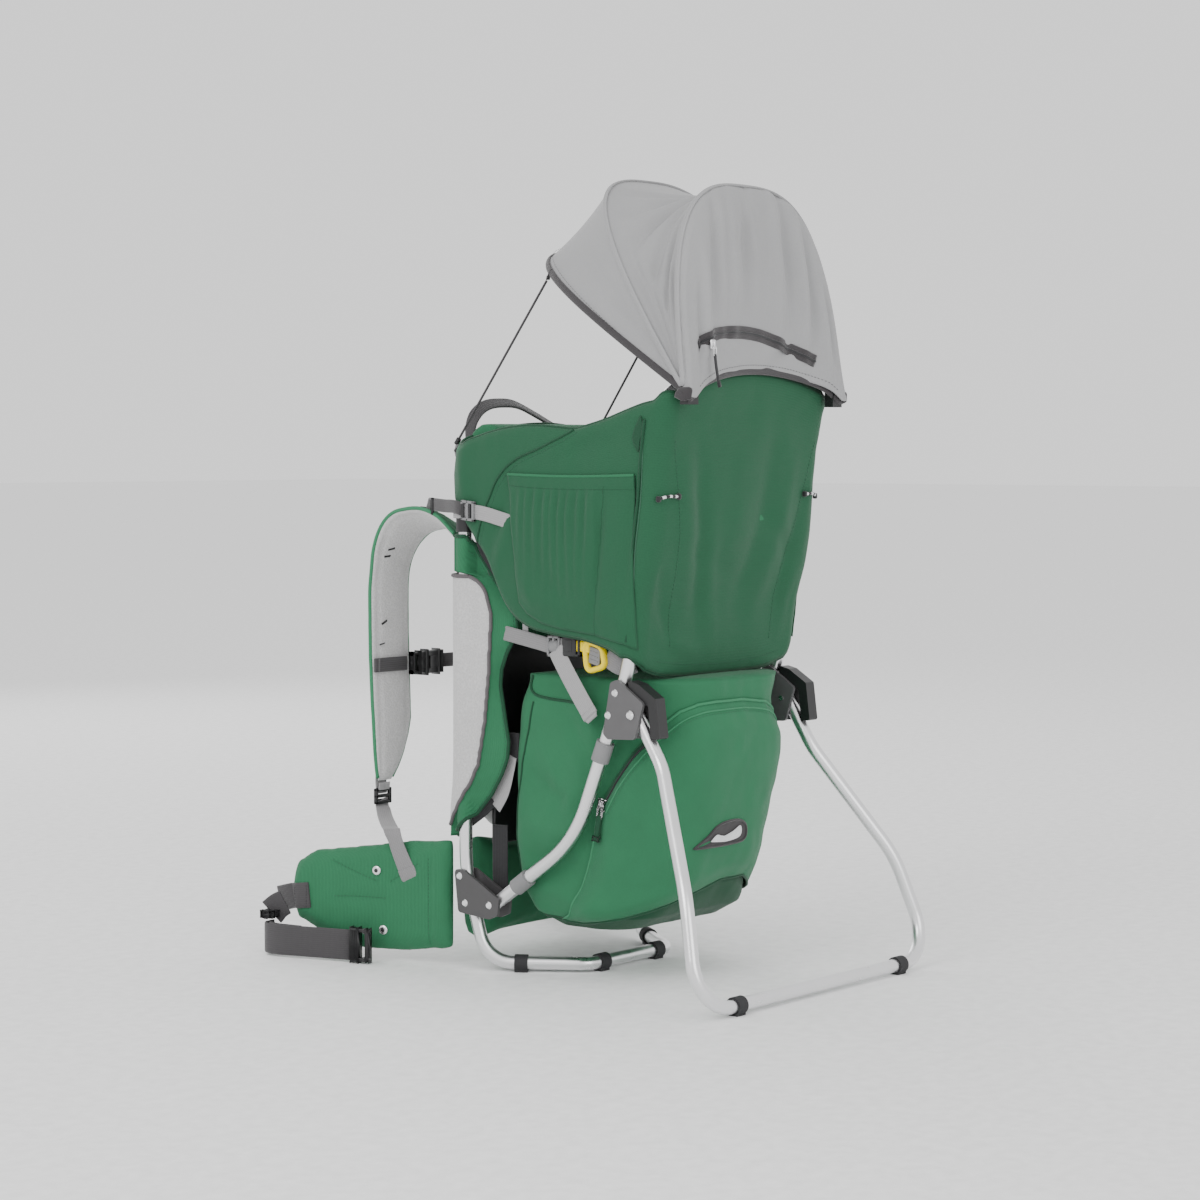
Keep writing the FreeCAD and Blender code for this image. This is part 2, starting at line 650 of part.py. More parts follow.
def arch_curve(plane, power, inset=0.0, count=24):
    """Arch from just above the hinge line on one side to the same height on the other."""
    span = math.pi - 2 * ARCH_START
    points = [arch_point(plane, ARCH_START + span * i / count, power, inset) for i in range(count + 1)]
    curve = Part.BSplineCurve()
    curve.interpolate(points)
    return curve.toShape()


def arch_skin(plane_a, power_a, plane_b, power_b):
    """Skin of even thickness between two arches, closed by ruled faces."""
    outer = [arch_curve(plane_a, power_a), arch_curve(plane_b, power_b)]
    inner = [arch_curve(plane_a, power_a, CANOPY_THICK), arch_curve(plane_b, power_b, CANOPY_THICK)]
    faces = [
        Part.makeRuledSurface(outer[0], outer[1]),
        Part.makeRuledSurface(inner[0], inner[1]),
        Part.makeRuledSurface(outer[0], inner[0]),
        Part.makeRuledSurface(outer[1], inner[1]),
    ]
    for k in (0, 1):
        rim_a = Part.makeLine(outer[0].Vertexes[k].Point, outer[1].Vertexes[k].Point)
        rim_b = Part.makeLine(inner[0].Vertexes[k].Point, inner[1].Vertexes[k].Point)
        faces.append(Part.makeRuledSurface(rim_a, rim_b))
    shell = Part.Compound(faces)
    shell.sewShape()
    solid = Part.Solid(shell.Shells[0])
    if solid.Volume < 0:
        solid.reverse()
    return solid


def bow(plane, inset):
    """Sprung rod bent into a hoop, as straight runs and arcs inside the fabric."""
    steps = (0.0, 0.3, 0.62, 0.95, 1.32)
    half = [arch_point(plane, t, ARCH_POWER, inset) for t in steps]
    points = half + [V(-p.x, p.y, p.z) for p in reversed(half)]
    radii = []
    for i in range(1, len(points) - 1):
        back = points[i - 1] - points[i]
        ahead = points[i + 1] - points[i]
        half_turn = (math.pi - back.getAngle(ahead)) / 2.0
        run = min(back.Length, ahead.Length)
        radii.append(0.45 * run / math.tan(half_turn))
    hoop = sweep_round(bent_path(points, radii), BOW_R)
    for end in (points[0], points[-1]):
        start = V(end.x - EYE_WIDTH / 2, HINGE.y, HINGE.z)
        hoop = hoop.fuse(Part.makeCylinder(EYE_R, EYE_WIDTH, start, V(1, 0, 0)))
        hoop = hoop.cut(Part.makeCylinder(EYE_BORE, EYE_WIDTH + 4, start - V(2, 0, 0), V(1, 0, 0)))
    return hoop.removeSplitter()


def canopy():
    save("rear_bow", bow(REAR_BOW, REAR_BOW_INSET))
    save("front_bow", bow(FRONT_BOW, FRONT_BOW_INSET))
    # Clevis behind each rear corner of the cabin; its pin carries the eyes of both bows.
    ears = (131.0, 133.6, 147.0, 149.6)
    fork = box((ears[0], ears[3]), (HINGE.y - 6, HINGE.y + 6), (HINGE.z - 16, HINGE.z + 6))
    fork = fork.cut(box((ears[1], ears[2]), (HINGE.y - 7, HINGE.y + 7), (HINGE.z - 7, HINGE.z + 7)))
    pin = Part.makeCylinder(EYE_BORE - PIN_CLEARANCE, ears[3] - ears[0], V(ears[0], HINGE.y, HINGE.z), V(1, 0, 0))
    save("bow_sockets", both_sides([fork.fuse(pin).removeSplitter()]))
    lean = math.radians(REAR_BOW[0])
    outer = arch_curve(REAR_BOW, ARCH_POWER)
    base = [v.Point for v in outer.Vertexes]
    panel = Part.Face(Part.Wire([outer, Part.makeLine(base[1], base[0])]))
    panel = panel.extrude(V(0, math.cos(lean), math.sin(lean)) * CANOPY_THICK)
    panel.translate(V(0, 6, 0))
    panel = panel.cut(box((-300, 300), (0, 500), (600, 699)))
    save("canopy_back_panel", panel)
    gap = 1.2
    behind = (REAR_BOW[0] + gap, REAR_BOW[1])
    ahead = (FRONT_BOW[0] - gap, FRONT_BOW[1])
    save("canopy_roof_panel", arch_skin(behind, ARCH_POWER, ahead, ARCH_POWER))
    save("visor_panel", arch_skin(FRONT_BOW, ARCH_POWER, VISOR_RIM, RIM_POWER))


CORD_TOP = V(120, 48, 832)
CORD_END = V(127, -92, 640)


def elastic_cords():
    """Taut elastic from each visor corner to a hook at the front rim."""
    along = (CORD_TOP - CORD_END).normalize() * CORD_D
    cord = rod(CORD_END + along, CORD_TOP - along, CORD_D / 2.0)
    for side, word in SIDES:
        save("elastic_cord_" + word, on_side(cord, side))
    hook = soft_box((122, 132), (-97, -87), (616, 640), 2)
    tag = soft_box((115, 125), (CORD_TOP.y - 5, CORD_TOP.y + 5), (CORD_TOP.z, CORD_TOP.z + 7), 1.5)
    save("cord_hooks", both_sides([hook]))
    save("cord_anchors", both_sides([tag]))


def main():
    frame_tubes()
    crossbar()
    brackets()
    sleeves()
    foot_pads()
    kickstand()
    back_system()
    shoulder_straps()
    strap_hardware()
    sternum_strap()
    grab_handle()
    hip_belt()
    cabin()
    child_seat()
    child_harness()
    side_entry()
    lower_bag()
    zip_sliders()
    canopy()
    elastic_cords()


main()
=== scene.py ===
"""Looks of the child carrier backpack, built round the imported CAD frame.

Points are laid out in millimetres in the layout that the CAD source uses: +Z up, +X the wearer's
left, +Y away from the wearer's back. `metres` turns them into the row frame.
"""
import bmesh
import bpy
import math
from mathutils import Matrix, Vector, noise
from mathutils.bvhtree import BVHTree


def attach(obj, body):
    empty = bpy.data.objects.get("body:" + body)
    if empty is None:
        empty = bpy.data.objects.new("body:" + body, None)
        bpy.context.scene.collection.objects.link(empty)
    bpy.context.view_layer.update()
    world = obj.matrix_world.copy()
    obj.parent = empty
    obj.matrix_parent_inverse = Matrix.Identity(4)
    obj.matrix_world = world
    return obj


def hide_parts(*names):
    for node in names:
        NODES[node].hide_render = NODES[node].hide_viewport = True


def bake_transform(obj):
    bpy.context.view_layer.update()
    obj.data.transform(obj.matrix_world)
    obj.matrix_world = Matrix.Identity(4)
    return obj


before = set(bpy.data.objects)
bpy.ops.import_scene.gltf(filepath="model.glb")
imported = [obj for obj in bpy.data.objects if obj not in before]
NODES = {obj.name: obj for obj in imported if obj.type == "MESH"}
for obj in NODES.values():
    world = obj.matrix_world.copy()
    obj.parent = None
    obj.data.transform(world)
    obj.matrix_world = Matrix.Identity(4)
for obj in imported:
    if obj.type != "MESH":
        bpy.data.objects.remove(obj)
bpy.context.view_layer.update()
ORIGIN_Y = 20.9
SIDES = ((1, "left"), (-1, "right"))
ROOT = "frame"


def metres(p):
    return Vector((p[0], p[1] - ORIGIN_Y, p[2])) / 1000


def V(x, y, z):
    return Vector((x, y, z))


def sided(p, side):
    """The point as it lies on the wearer's left (1) or right (-1)."""
    return V(side * p[0], p[1], p[2])


X, Y, UP = V(1, 0, 0), V(0, 1, 0), V(0, 0, 1)
AXES = (X, Y, UP)


def table(rows, x):
    """Piecewise linear lookup in (x, value) rows sorted by x."""
    if x <= rows[0][0]:
        return rows[0][1]
    for (x0, v0), (x1, v1) in zip(rows, rows[1:]):
        if x <= x1:
            return v0 + (v1 - v0) * (x - x0) / (x1 - x0)
    return rows[-1][1]


def ease(t):
    t = min(1.0, max(0.0, t))
    return t * t * (3 - 2 * t)


def bump(d, width):
    return math.exp(-(d / width) ** 2)


def crease(u, v, a, b, width, depth):
    """Soft fold along the segment a-b of a surface's own coordinates, fading at both ends."""
    du, dv = b[0] - a[0], b[1] - a[1]
    t = ((u - a[0]) * du + (v - a[1]) * dv) / (du * du + dv * dv)
    if t <= 0 or t >= 1:
        return 0.0
    away = math.hypot(u - a[0] - du * t, v - a[1] - dv * t)
    return depth * bump(away, width) * math.sin(math.pi * t) ** 0.7


def creases(u, v, lines):
    return sum(crease(u, v, *line) for line in lines)


def mirrored(folds, middle=0.0):
    """The same folds on the other side of the middle of their first coordinate."""
    return [((2 * middle - a, b), (2 * middle - c, d), width, depth)
            for (a, b), (c, d), width, depth in folds]


def wave(x, y, z, seed=0.0):
    return noise.noise(Vector((x, y, z + seed)))


def grid(rows, columns, point):
    """Rows of points from a function of the column and the row."""
    return [[point(i, j) for i in range(columns)] for j in range(rows)]


def curve(keys, step=4.0):
    """Smooth path through the keys, resampled at about `step`."""
    keys = [Vector(k) for k in keys]
    out = []
    for i, (p1, p2) in enumerate(zip(keys, keys[1:])):
        p0 = keys[i - 1] if i > 0 else p1 * 2 - p2
        p3 = keys[i + 2] if i + 2 < len(keys) else p2 * 2 - p1
        count = max(1, int(round((p2 - p1).length / step)))
        for k in range(count):
            t = k / count
            t2, t3 = t * t, t * t * t
            out.append(0.5 * (2 * p1 + (p2 - p0) * t + (2 * p0 - 5 * p1 + 4 * p2 - p3) * t2
                              + (3 * p1 - p0 - 3 * p2 + p3) * t3))
    return out + keys[-1:]


def straight(points, step=4.0):
    """The points' own runs, resampled at about `step`."""
    out = []
    for a, b in zip(points, points[1:]):
        count = max(1, int(round((Vector(b) - Vector(a)).length / step)))
        out += [Vector(a).lerp(Vector(b), k / count) for k in range(count)]
    return out + [Vector(points[-1])]


def spaced(points, count):
    """The same line as count + 1 evenly spaced points."""
    total = [0.0]
    for a, b in zip(points, points[1:]):
        total.append(total[-1] + (b - a).length)
    out, i = [], 0
    for k in range(count + 1):
        want = total[-1] * k / count
        while i < len(points) - 2 and total[i + 1] < want:
            i += 1
        span = max(1e-9, total[i + 1] - total[i])
        out.append(points[i].lerp(points[i + 1], min(1.0, (want - total[i]) / span)))
    return out


def tangents(path, cyclic=False):
    n = len(path)
    out = []
    for i in range(n):
        a = path[(i - 1) % n] if (cyclic or i > 0) else path[i]
        b = path[(i + 1) % n] if (cyclic or i < n - 1) else path[i]
        out.append((b - a).normalized())
    return out


# ---- materials ------------------------------------------------------------------
class Shade:
    """One node material on the Principled shader."""

    def __init__(self, name, color, rough=0.6, metal=0.0, sheen=0.0, coat=0.0, spec=0.5):
        self.mat = bpy.data.materials.new(name)
        self.mat.use_nodes = True
        self.tree = self.mat.node_tree
        self.out = self.tree.nodes["Principled BSDF"]
        self.color = color
        self.set(**{"Base Color": (*color, 1), "Roughness": rough, "Metallic": metal,
                    "Sheen Weight": sheen, "Sheen Roughness": 0.45, "Coat Weight": coat,
                    "Specular IOR Level": spec})

    def set(self, **values):
        for key, value in values.items():
            self.out.inputs[key].default_value = value

    def node(self, kind, **values):
        made = self.tree.nodes.new(kind)
        for key, value in values.items():
            if hasattr(made, key) and not key[0].isupper():
                setattr(made, key, value)
            else:
                made.inputs[key].default_value = value
        return made

    def link(self, a, b):
        self.tree.links.new(a, b)

    def coords(self, uv, scale=(1, 1, 1), turn=0.0):
        where = self.node("ShaderNodeUVMap", uv_map="UVMap") if uv else self.node("ShaderNodeTexCoord")
        mapping = self.node("ShaderNodeMapping", Scale=scale, Rotation=(0, 0, turn))
        self.link(where.outputs["UV" if uv else "Object"], mapping.inputs["Vector"])
        return mapping.outputs["Vector"]

    def noise(self, coords, scale, detail=2.0):
        made = self.node("ShaderNodeTexNoise", Scale=scale, Detail=detail)
        self.link(coords, made.inputs["Vector"])
        return made.outputs["Fac"]

    def ramp(self, value, low, high):
        made = self.node("ShaderNodeMapRange")
        made.inputs["To Min"].default_value = low
        made.inputs["To Max"].default_value = high
        self.link(value, made.inputs["Value"])
        return made.outputs["Result"]

    def math(self, kind, a, b):
        made = self.node("ShaderNodeMath", operation=kind)
        for socket, value in zip(made.inputs, (a, b)):
            if isinstance(value, (int, float)):
                socket.default_value = value
            else:
                self.link(value, socket)
        return made.outputs[0]

    def tint(self, *factors):
        """Base colour times the product of the factors."""
        total = factors[0]
        for f in factors[1:]:
            total = self.math("MULTIPLY", total, f)
        made = self.node("ShaderNodeMixRGB", blend_type="MULTIPLY", Fac=1.0)
        made.inputs["Color1"].default_value = (*self.color, 1)
        self.link(total, made.inputs["Color2"])
        self.link(made.outputs["Color"], self.out.inputs["Base Color"])

    def relief(self, height, distance, strength=1.0):
        made = self.node("ShaderNodeBump", Strength=strength, Distance=distance)
        self.link(height, made.inputs["Height"])
        self.link(made.outputs["Normal"], self.out.inputs["Normal"])

    def roughness(self, value):
        self.link(value, self.out.inputs["Roughness"])


def bands(shade, coords, axis, scale):
    made = shade.node("ShaderNodeTexWave", bands_direction=axis, Scale=scale)
    shade.link(coords, made.inputs["Vector"])
    return made.outputs["Fac"]


PITCH_TO_SCALE = 0.31416    # a wave texture's scale for one band per unit length


def cloth(name, color, pitch, uv=True, depth=0.00012, sheen=0.10, mottled=0.10, rough=0.75):
    """Plain weave of that thread pitch in metres, slightly uneven in colour."""
    s = Shade(name, color, rough, sheen=sheen, spec=0.25)
    at = s.coords(uv)
    warp = bands(s, at, "X", PITCH_TO_SCALE / pitch)
    weft = bands(s, at, "Y", PITCH_TO_SCALE / pitch)
    if not uv:
        weft = bands(s, at, "Z", PITCH_TO_SCALE / pitch)
    weave = s.math("MAXIMUM", warp, weft)
    patches = s.noise(s.coords(False), 26.0, 3.0)
    threads = s.noise(s.coords(False), 700.0, 1.0)
    s.tint(s.ramp(weave, 0.90, 1.04), s.ramp(patches, 1 - mottled, 1 + mottled), s.ramp(threads, 0.93, 1.07))
    s.relief(s.math("ADD", weave, s.math("MULTIPLY", threads, 0.6)), depth)
    s.roughness(s.ramp(patches, rough - 0.08, rough + 0.08))
    return s.mat


def webbing(name, color, pitch=0.0017):
    """Ribbed webbing: ribs across the band and ridges along it."""
    s = Shade(name, color, 0.7, sheen=0.3, spec=0.3)
    at = s.coords(True)
    ribs = bands(s, at, "X", PITCH_TO_SCALE / pitch)
    rows = bands(s, at, "Y", PITCH_TO_SCALE / (pitch * 1.5))
    weave = s.math("MULTIPLY", s.ramp(ribs, 0.4, 1.0), s.ramp(rows, 0.55, 1.0))
    fibres = s.noise(s.coords(False), 900.0, 1.0)
    s.tint(s.ramp(weave, 0.80, 1.12), s.ramp(fibres, 0.90, 1.10))
    s.relief(weave, 0.00035)
    return s.mat


def spacer_mesh(name, color):
    """Knitted spacer mesh: rows of small open cells over soft foam."""
    s = Shade(name, color, 0.85, sheen=0.5, spec=0.2)
    at = s.coords(False)
    cells = s.node("ShaderNodeTexVoronoi", Scale=420.0, feature="F1")
    s.link(at, cells.inputs["Vector"])
    # The colour darkens in the cell holes: painted shade in the recessed cells.
    hole_shade = s.ramp(cells.outputs["Distance"], 0.80, 1.06)
    soft = s.noise(at, 22.0, 2.0)
    s.tint(hole_shade, s.ramp(soft, 0.94, 1.05))
    s.relief(cells.outputs["Distance"], 0.0005, 0.7)
    return s.mat


def plastic(name, color, rough=0.42, coat=0.0, grain=1500.0):
    """Moulded plastic: a fine grain and slightly uneven gloss."""
    s = Shade(name, color, rough, coat=coat)
    at = s.coords(False)
    fine = s.noise(at, grain, 2.0)
    broad = s.noise(at, 60.0, 3.0)
    s.tint(s.ramp(broad, 0.88, 1.12))
    s.relief(fine, 0.00006)
    s.roughness(s.ramp(broad, rough - 0.08, rough + 0.10))
    return s.mat


DRAWN, WEAR = (900, 900, 60), 0.08      # scale of the drawn lines, and how far the smudges darken


def metal(name, color, rough):
    """Satin metal with drawn lines along its length and faint smudges."""
    s = Shade(name, color, rough, metal=1.0)
    lines = s.noise(s.coords(False, DRAWN), 1.0, 2.0)
    smudge = s.noise(s.coords(False), 35.0, 4.0)
    s.tint(s.ramp(smudge, 1 - WEAR, 1.0))
    s.relief(lines, 0.00002)
    s.roughness(s.ramp(smudge, rough - 0.08, rough + 0.12))
    return s.mat


GREEN_RGB = (0.024, 0.150, 0.068)
GREEN = cloth("green_fabric", GREEN_RGB, 0.0013)
GREEN_SOFT = cloth("green_pad_fabric", GREEN_RGB, 0.0013, uv=False)
DARK_GREEN = cloth("dark_green_fabric", (0.010, 0.060, 0.028), 0.0013, mottled=0.08)
LINING = cloth("lining_fabric", (0.016, 0.090, 0.042), 0.0016, mottled=0.06)
MESH = spacer_mesh("mesh_fabric", (0.56, 0.555, 0.555))
CANOPY = cloth("canopy_fabric", (0.335, 0.335, 0.34), 0.0010, depth=0.00008, sheen=0.15, mottled=0.04)
BINDING = webbing("binding", (0.042, 0.038, 0.041), 0.0012)
WEB_LIGHT = webbing("light_webbing", (0.34, 0.335, 0.34))
WEB_MID = webbing("mid_webbing", (0.235, 0.23, 0.235))
WEB_DARK = webbing("dark_webbing", (0.055, 0.052, 0.055))
WEB_BLACK = webbing("black_webbing", (0.020, 0.020, 0.022))
TUBE = metal("satin_tube", (0.84, 0.84, 0.85), 0.28)
STEEL = metal("rivet_steel", (0.85, 0.85, 0.86), 0.22)
ZIP_METAL = metal("zip_metal", (0.82, 0.82, 0.83), 0.18)
BRACKET = plastic("bracket_grey", (0.095, 0.093, 0.096), 0.45)
BRACKET_DARK = plastic("bracket_dark", (0.060, 0.058, 0.060), 0.45)
BLACK = plastic("black_plastic", (0.012, 0.012, 0.013), 0.38)
GREY = plastic("grey_plastic", (0.20, 0.20, 0.205), 0.45)
YELLOW = plastic("yellow_plastic", (0.92, 0.70, 0.0), 0.34)
RUBBER = plastic("foot_rubber", (0.020, 0.020, 0.022), 0.75, grain=600.0)
ROD = plastic("bow_rod", (0.03, 0.03, 0.032), 0.35)
CORD = webbing("cord_braid", (0.055, 0.052, 0.055), 0.0009)
THREAD = plastic("thread", (0.05, 0.05, 0.052), 0.8)
THREAD_GREEN = plastic("thread_green", (0.03, 0.10, 0.058), 0.8)
REFLECTIVE = plastic("reflective_patch", (0.72, 0.72, 0.74), 0.25, coat=0.4)
PIPING = cloth("piping_fabric", (0.040, 0.21, 0.10), 0.0010, mottled=0.05)
PIPING_GREY = cloth("piping_grey", (0.11, 0.10, 0.105), 0.0010, mottled=0.05)


# ---- mesh tools -----------------------------------------------------------------
def wrap_up(obj, body, slot, *nodes):
    """Ride the piece on its body and hide the CAD nodes it stands for; `slot` is not used."""
    if body:
        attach(obj, body)
    if nodes:
        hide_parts(*nodes)
    return obj


def cover(mesh, mats):
    """Give a mesh these materials alone, before its faces are numbered, because clearing resets them."""
    mesh.materials.clear()
    for mat in mats:
        mesh.materials.append(mat)


def link_object(name, mesh):
    obj = bpy.data.objects.new(name, mesh)
    bpy.context.scene.collection.objects.link(obj)
    return obj


def bake(obj):
    """Apply every modifier to the mesh."""
    graph = bpy.context.evaluated_depsgraph_get()
    obj.data = bpy.data.meshes.new_from_object(obj.evaluated_get(graph))
    obj.modifiers.clear()
    return obj


def skin(name, rows, mats, thick=0.0, wrap=False, flip=False, subdivide=0):
    """Surface through rows of points, with UVs in metres and a thickness behind it."""
    n, m = len(rows), len(rows[0])
    columns = m if wrap else m - 1
    middle = rows[n // 2]
    us = [0.0]
    for i in range(columns):
        us.append(us[-1] + (middle[(i + 1) % m] - middle[i]).length / 1000)
    vs = [0.0]
    for j in range(n - 1):
        vs.append(vs[-1] + (rows[j + 1][m // 3] - rows[j][m // 3]).length / 1000)
    faces, uvs = [], []
    for j in range(n - 1):
        for i in range(columns):
            quad = [(j, i), (j, i + 1), (j + 1, i + 1), (j + 1, i)]
            if flip:
                quad.reverse()
            faces.append([r * m + c % m for r, c in quad])
            uvs += [(us[c], vs[r]) for r, c in quad]
    mesh = bpy.data.meshes.new(name)
    mesh.from_pydata([metres(p) for row in rows for p in row], [], faces)
    layer = mesh.uv_layers.new(name="UVMap")
    for k, uv in enumerate(uvs):
        layer.data[k].uv = uv
    mesh.polygons.foreach_set("use_smooth", [True] * len(mesh.polygons))
    obj = link_object(name, mesh)
    cover(mesh, mats)
    if subdivide:
        obj.modifiers.new("Subdivide", "SUBSURF").levels = subdivide
    if thick:
        solid = obj.modifiers.new("Thickness", "SOLIDIFY")
        solid.thickness = thick / 1000
        solid.offset = -1.0
        solid.material_offset = len(mats) - 1
    return bake(obj) if (thick or subdivide) else obj


class Kit:
    """Gathers bands, tubes and bevelled blocks, in millimetres, into one mesh."""

    def __init__(self):
        self.bm = bmesh.new()
        self.uv = self.bm.loops.layers.uv.new("UVMap")

    def _rings(self, rings, uvs, index, cyclic=False):
        """Closed rings joined into a tube, capped at both ends unless it is cyclic."""
        made = [[self.bm.verts.new(p) for p in ring] for ring in rings]
        m = len(rings[0])
        n = len(rings)
        for j in range(n if cyclic else n - 1):
            for i in range(m):
                k = (i + 1) % m
                nxt = (j + 1) % n
                face = self.bm.faces.new((made[j][i], made[j][k], made[nxt][k], made[nxt][i]))
                face.material_index = index
                face.smooth = True
                corners = ((j, i), (j, i + 1), (j + 1, i + 1), (j + 1, i))
                for loop, (r, c) in zip(face.loops, corners):
                    loop[self.uv].uv = uvs(r, c)
        if not cyclic:
            for ring in (list(reversed(made[0])), made[-1]):
                face = self.bm.faces.new(ring)
                face.material_index = index

    def tube(self, path, radius, index=0, sides=10, cyclic=False, flat=1.0, up=None):
        """Round or flattened tube; radius is a number or a function of the fraction along it."""
        path = [Vector(p) for p in path]
        n = len(path)
        along = tangents(path, cyclic)
        ups = up if isinstance(up, list) else [up] * n
        normal = along[0].orthogonal()
        rings, lengths = [], [0.0]
        for i, p in enumerate(path):
            if ups[i] is not None:
                normal = Vector(ups[i])
            normal = (normal - along[i] * normal.dot(along[i])).normalized()
            other = along[i].cross(normal)
            r = radius(i / max(1, n - 1)) if callable(radius) else radius
            rings.append([p + normal * (r * flat * math.cos(2 * math.pi * k / sides))
                          + other * (r * math.sin(2 * math.pi * k / sides)) for k in range(sides)])
            lengths.append(lengths[-1] + (path[(i + 1) % n] - p).length / 1000)
        size = (radius(0.5) if callable(radius) else radius) * 2 * math.pi / sides / 1000
        self._rings(rings, lambda r, c: (lengths[min(r, n)], c * size), index, cyclic)
        return self

    def band(self, path, across, width, thick, index=0):
        """Webbing along a path; `across` is its width direction, one vector or a list spread evenly."""
        path = [Vector(p) for p in path]
        n = len(path)
        along = tangents(path)
        across = [Vector(a) for a in (across if isinstance(across, list) else [across])]
        shape = ((-1, 0), (-0.95, 0.7), (-0.8, 1), (-0.3, 1), (0.3, 1), (0.8, 1), (0.95, 0.7), (1, 0))
        shape = shape + tuple((-a, -b) for a, b in shape[1:-1])
        rings, lengths = [], [0.0]
        for i, p in enumerate(path):
            t = i / max(1, n - 1) * (len(across) - 1)
            k = min(int(t), len(across) - 1)
            side = across[k].lerp(across[min(k + 1, len(across) - 1)], t - k)
            side = (side - along[i] * side.dot(along[i])).normalized()
            up = along[i].cross(side)
            w = width(i / max(1, n - 1)) if callable(width) else width
            rings.append([p + side * (a * w / 2) + up * (b * thick / 2) for a, b in shape])
            lengths.append(lengths[-1] + (path[(i + 1) % n] - p).length / 1000)
        span = (width(0.5) if callable(width) else width) / 2000
        places = [a * span for a, b in shape] + [shape[0][0] * span]
        self._rings(rings, lambda r, c: (lengths[min(r, n)], places[c]), index)
        return self

    def block(self, centre, axes, size, bevel, index=0):
        """Bevelled block with its own three axes and full sizes."""
        before = set(self.bm.faces)
        made = bmesh.ops.create_cube(self.bm, size=1.0)["verts"]
        axes = [Vector(a).normalized() for a in axes]
        for v in made:
            local = v.co.copy()
            v.co = Vector(centre) + sum((a * (s * c) for a, s, c in zip(axes, size, local)), Vector())
        edges = list({e for v in made for e in v.link_edges})
        bmesh.ops.bevel(self.bm, geom=edges, offset=min(bevel, 0.49 * min(size)), segments=2,
                        profile=0.5, affect="EDGES")
        for f in set(self.bm.faces) - before:
            f.material_index = index
            f.smooth = True
        return self

    def frame_ring(self, centre, axes, size, bar, depth, index=0, bevel=0.8, slots=1):
        """Rectangular ring in the plane of the first two axes, with `slots` windows."""
        a, b, c = [Vector(x).normalized() for x in axes]
        centre = Vector(centre)
        for s in (-1, 1):
            self.block(centre + b * (s * (size[1] - bar) / 2), (a, b, c), (size[0], bar, depth), bevel, index)
        for k in range(slots + 1):
            at = (k / slots - 0.5) * (size[0] - bar)
            self.block(centre + a * at, (a, b, c), (bar, size[1], depth), bevel, index)
        return self

    def disc(self, centre, axis, radius, height, index=0, sides=20):
        """Round head standing on `centre`, with a rounded rim."""
        axis = Vector(axis).normalized()
        u = axis.orthogonal().normalized()
        w = axis.cross(u)
        levels = ((1.0, 0.0), (1.0, 0.55), (0.86, 0.9), (0.55, 1.0), (0.02, 1.0))
        around = [u * math.cos(2 * math.pi * k / sides) + w * math.sin(2 * math.pi * k / sides)
                  for k in range(sides)]
        rings = [[Vector(centre) + axis * (height * h) + out * (radius * r) for out in around]
                 for r, h in levels]
        self._rings(rings, lambda r, c: (0, 0), index)
        return self

    def make(self, name, mats, mirror=False):
        bmesh.ops.recalc_face_normals(self.bm, faces=self.bm.faces)
        if mirror:
            for v in self.bm.verts:
                v.co.x = -v.co.x
            bmesh.ops.reverse_faces(self.bm, faces=self.bm.faces)
        for v in self.bm.verts:
            v.co = metres(v.co)
        mesh = bpy.data.meshes.new(name)
        cover(mesh, mats)
        self.bm.to_mesh(mesh)
        self.bm.free()
        return link_object(name, mesh)

    def place(self, name, mats, slot, *nodes, body=ROOT):
        """Make the piece, ride it on its body and say which CAD nodes it stands for."""
        return wrap_up(self.make(name, mats), body, slot, *nodes)


def pair(draw, name, mats, bodies, slot, nodes=()):
    for side, word in SIDES:
        kit = Kit()
        draw(kit)
        obj = kit.make(name + "_" + word, mats, mirror=side < 0)
        body = bodies if isinstance(bodies, str) else bodies[word]
        wrap_up(obj, body, slot, *[n.replace("SIDE", word) for n in nodes if side > 0 or "SIDE" in n])


def surface(obj):
    """Search tree over a finished piece, in row-frame metres."""
    graph = bpy.context.evaluated_depsgraph_get()
    return BVHTree.FromObject(obj, graph)


def lay_on(tree, points, direction, lift, keep=False):
    """Points moved along a direction onto a surface, and lifted off it; in millimetres.
    Points that miss the surface are dropped, or stay where they are if keep is set."""
    out = []
    step = Vector(direction).normalized()
    for p in points:
        start = metres(Vector(p) - step * 60)
        place, normal, index, distance = tree.ray_cast(start, step, 0.2)
        if place is None:
            out += [Vector(p)] * keep
            continue
        if normal.dot(step) > 0:
            normal = -normal
        back = place * 1000 + Vector((0, ORIGIN_Y, 0))
        out.append(back + normal * lift)
    return out


# Sewn rows as (spacing, thread length, thread radius).
SEAM, ARC_ROW, FIN_SEAM = (4.5, 3.0, 0.3), (4.5, 3.0, 0.32), (4.2, 2.8, 0.3)
CANOPY_SEAM, HANDLE_SEAM = (5.0, 3.2, 0.35), (4.0, 2.6, 0.35)
BELT_TACK, WEB_TACK, HANDLE_TACK = (3.6, 2.6, 0.4), (3.4, 2.4, 0.4), (3.0, 2.2, 0.4)
THREAD_STEP = 0.75


def stitches(kit, path, kind=SEAM, index=0):
    """Row of short raised threads along a path."""
    spacing, length, radius = kind
    path = straight(path, THREAD_STEP)
    per = max(1, int(round(spacing / THREAD_STEP)))
    reach = max(1, int(round(length / THREAD_STEP)))
    for i in range(0, len(path) - reach, per):
        kit.tube(path[i:i + reach + 1],
                 lambda f: radius * (0.35 + 0.65 * math.sin(math.pi * min(0.97, max(0.03, f)))),
                 index, sides=5)


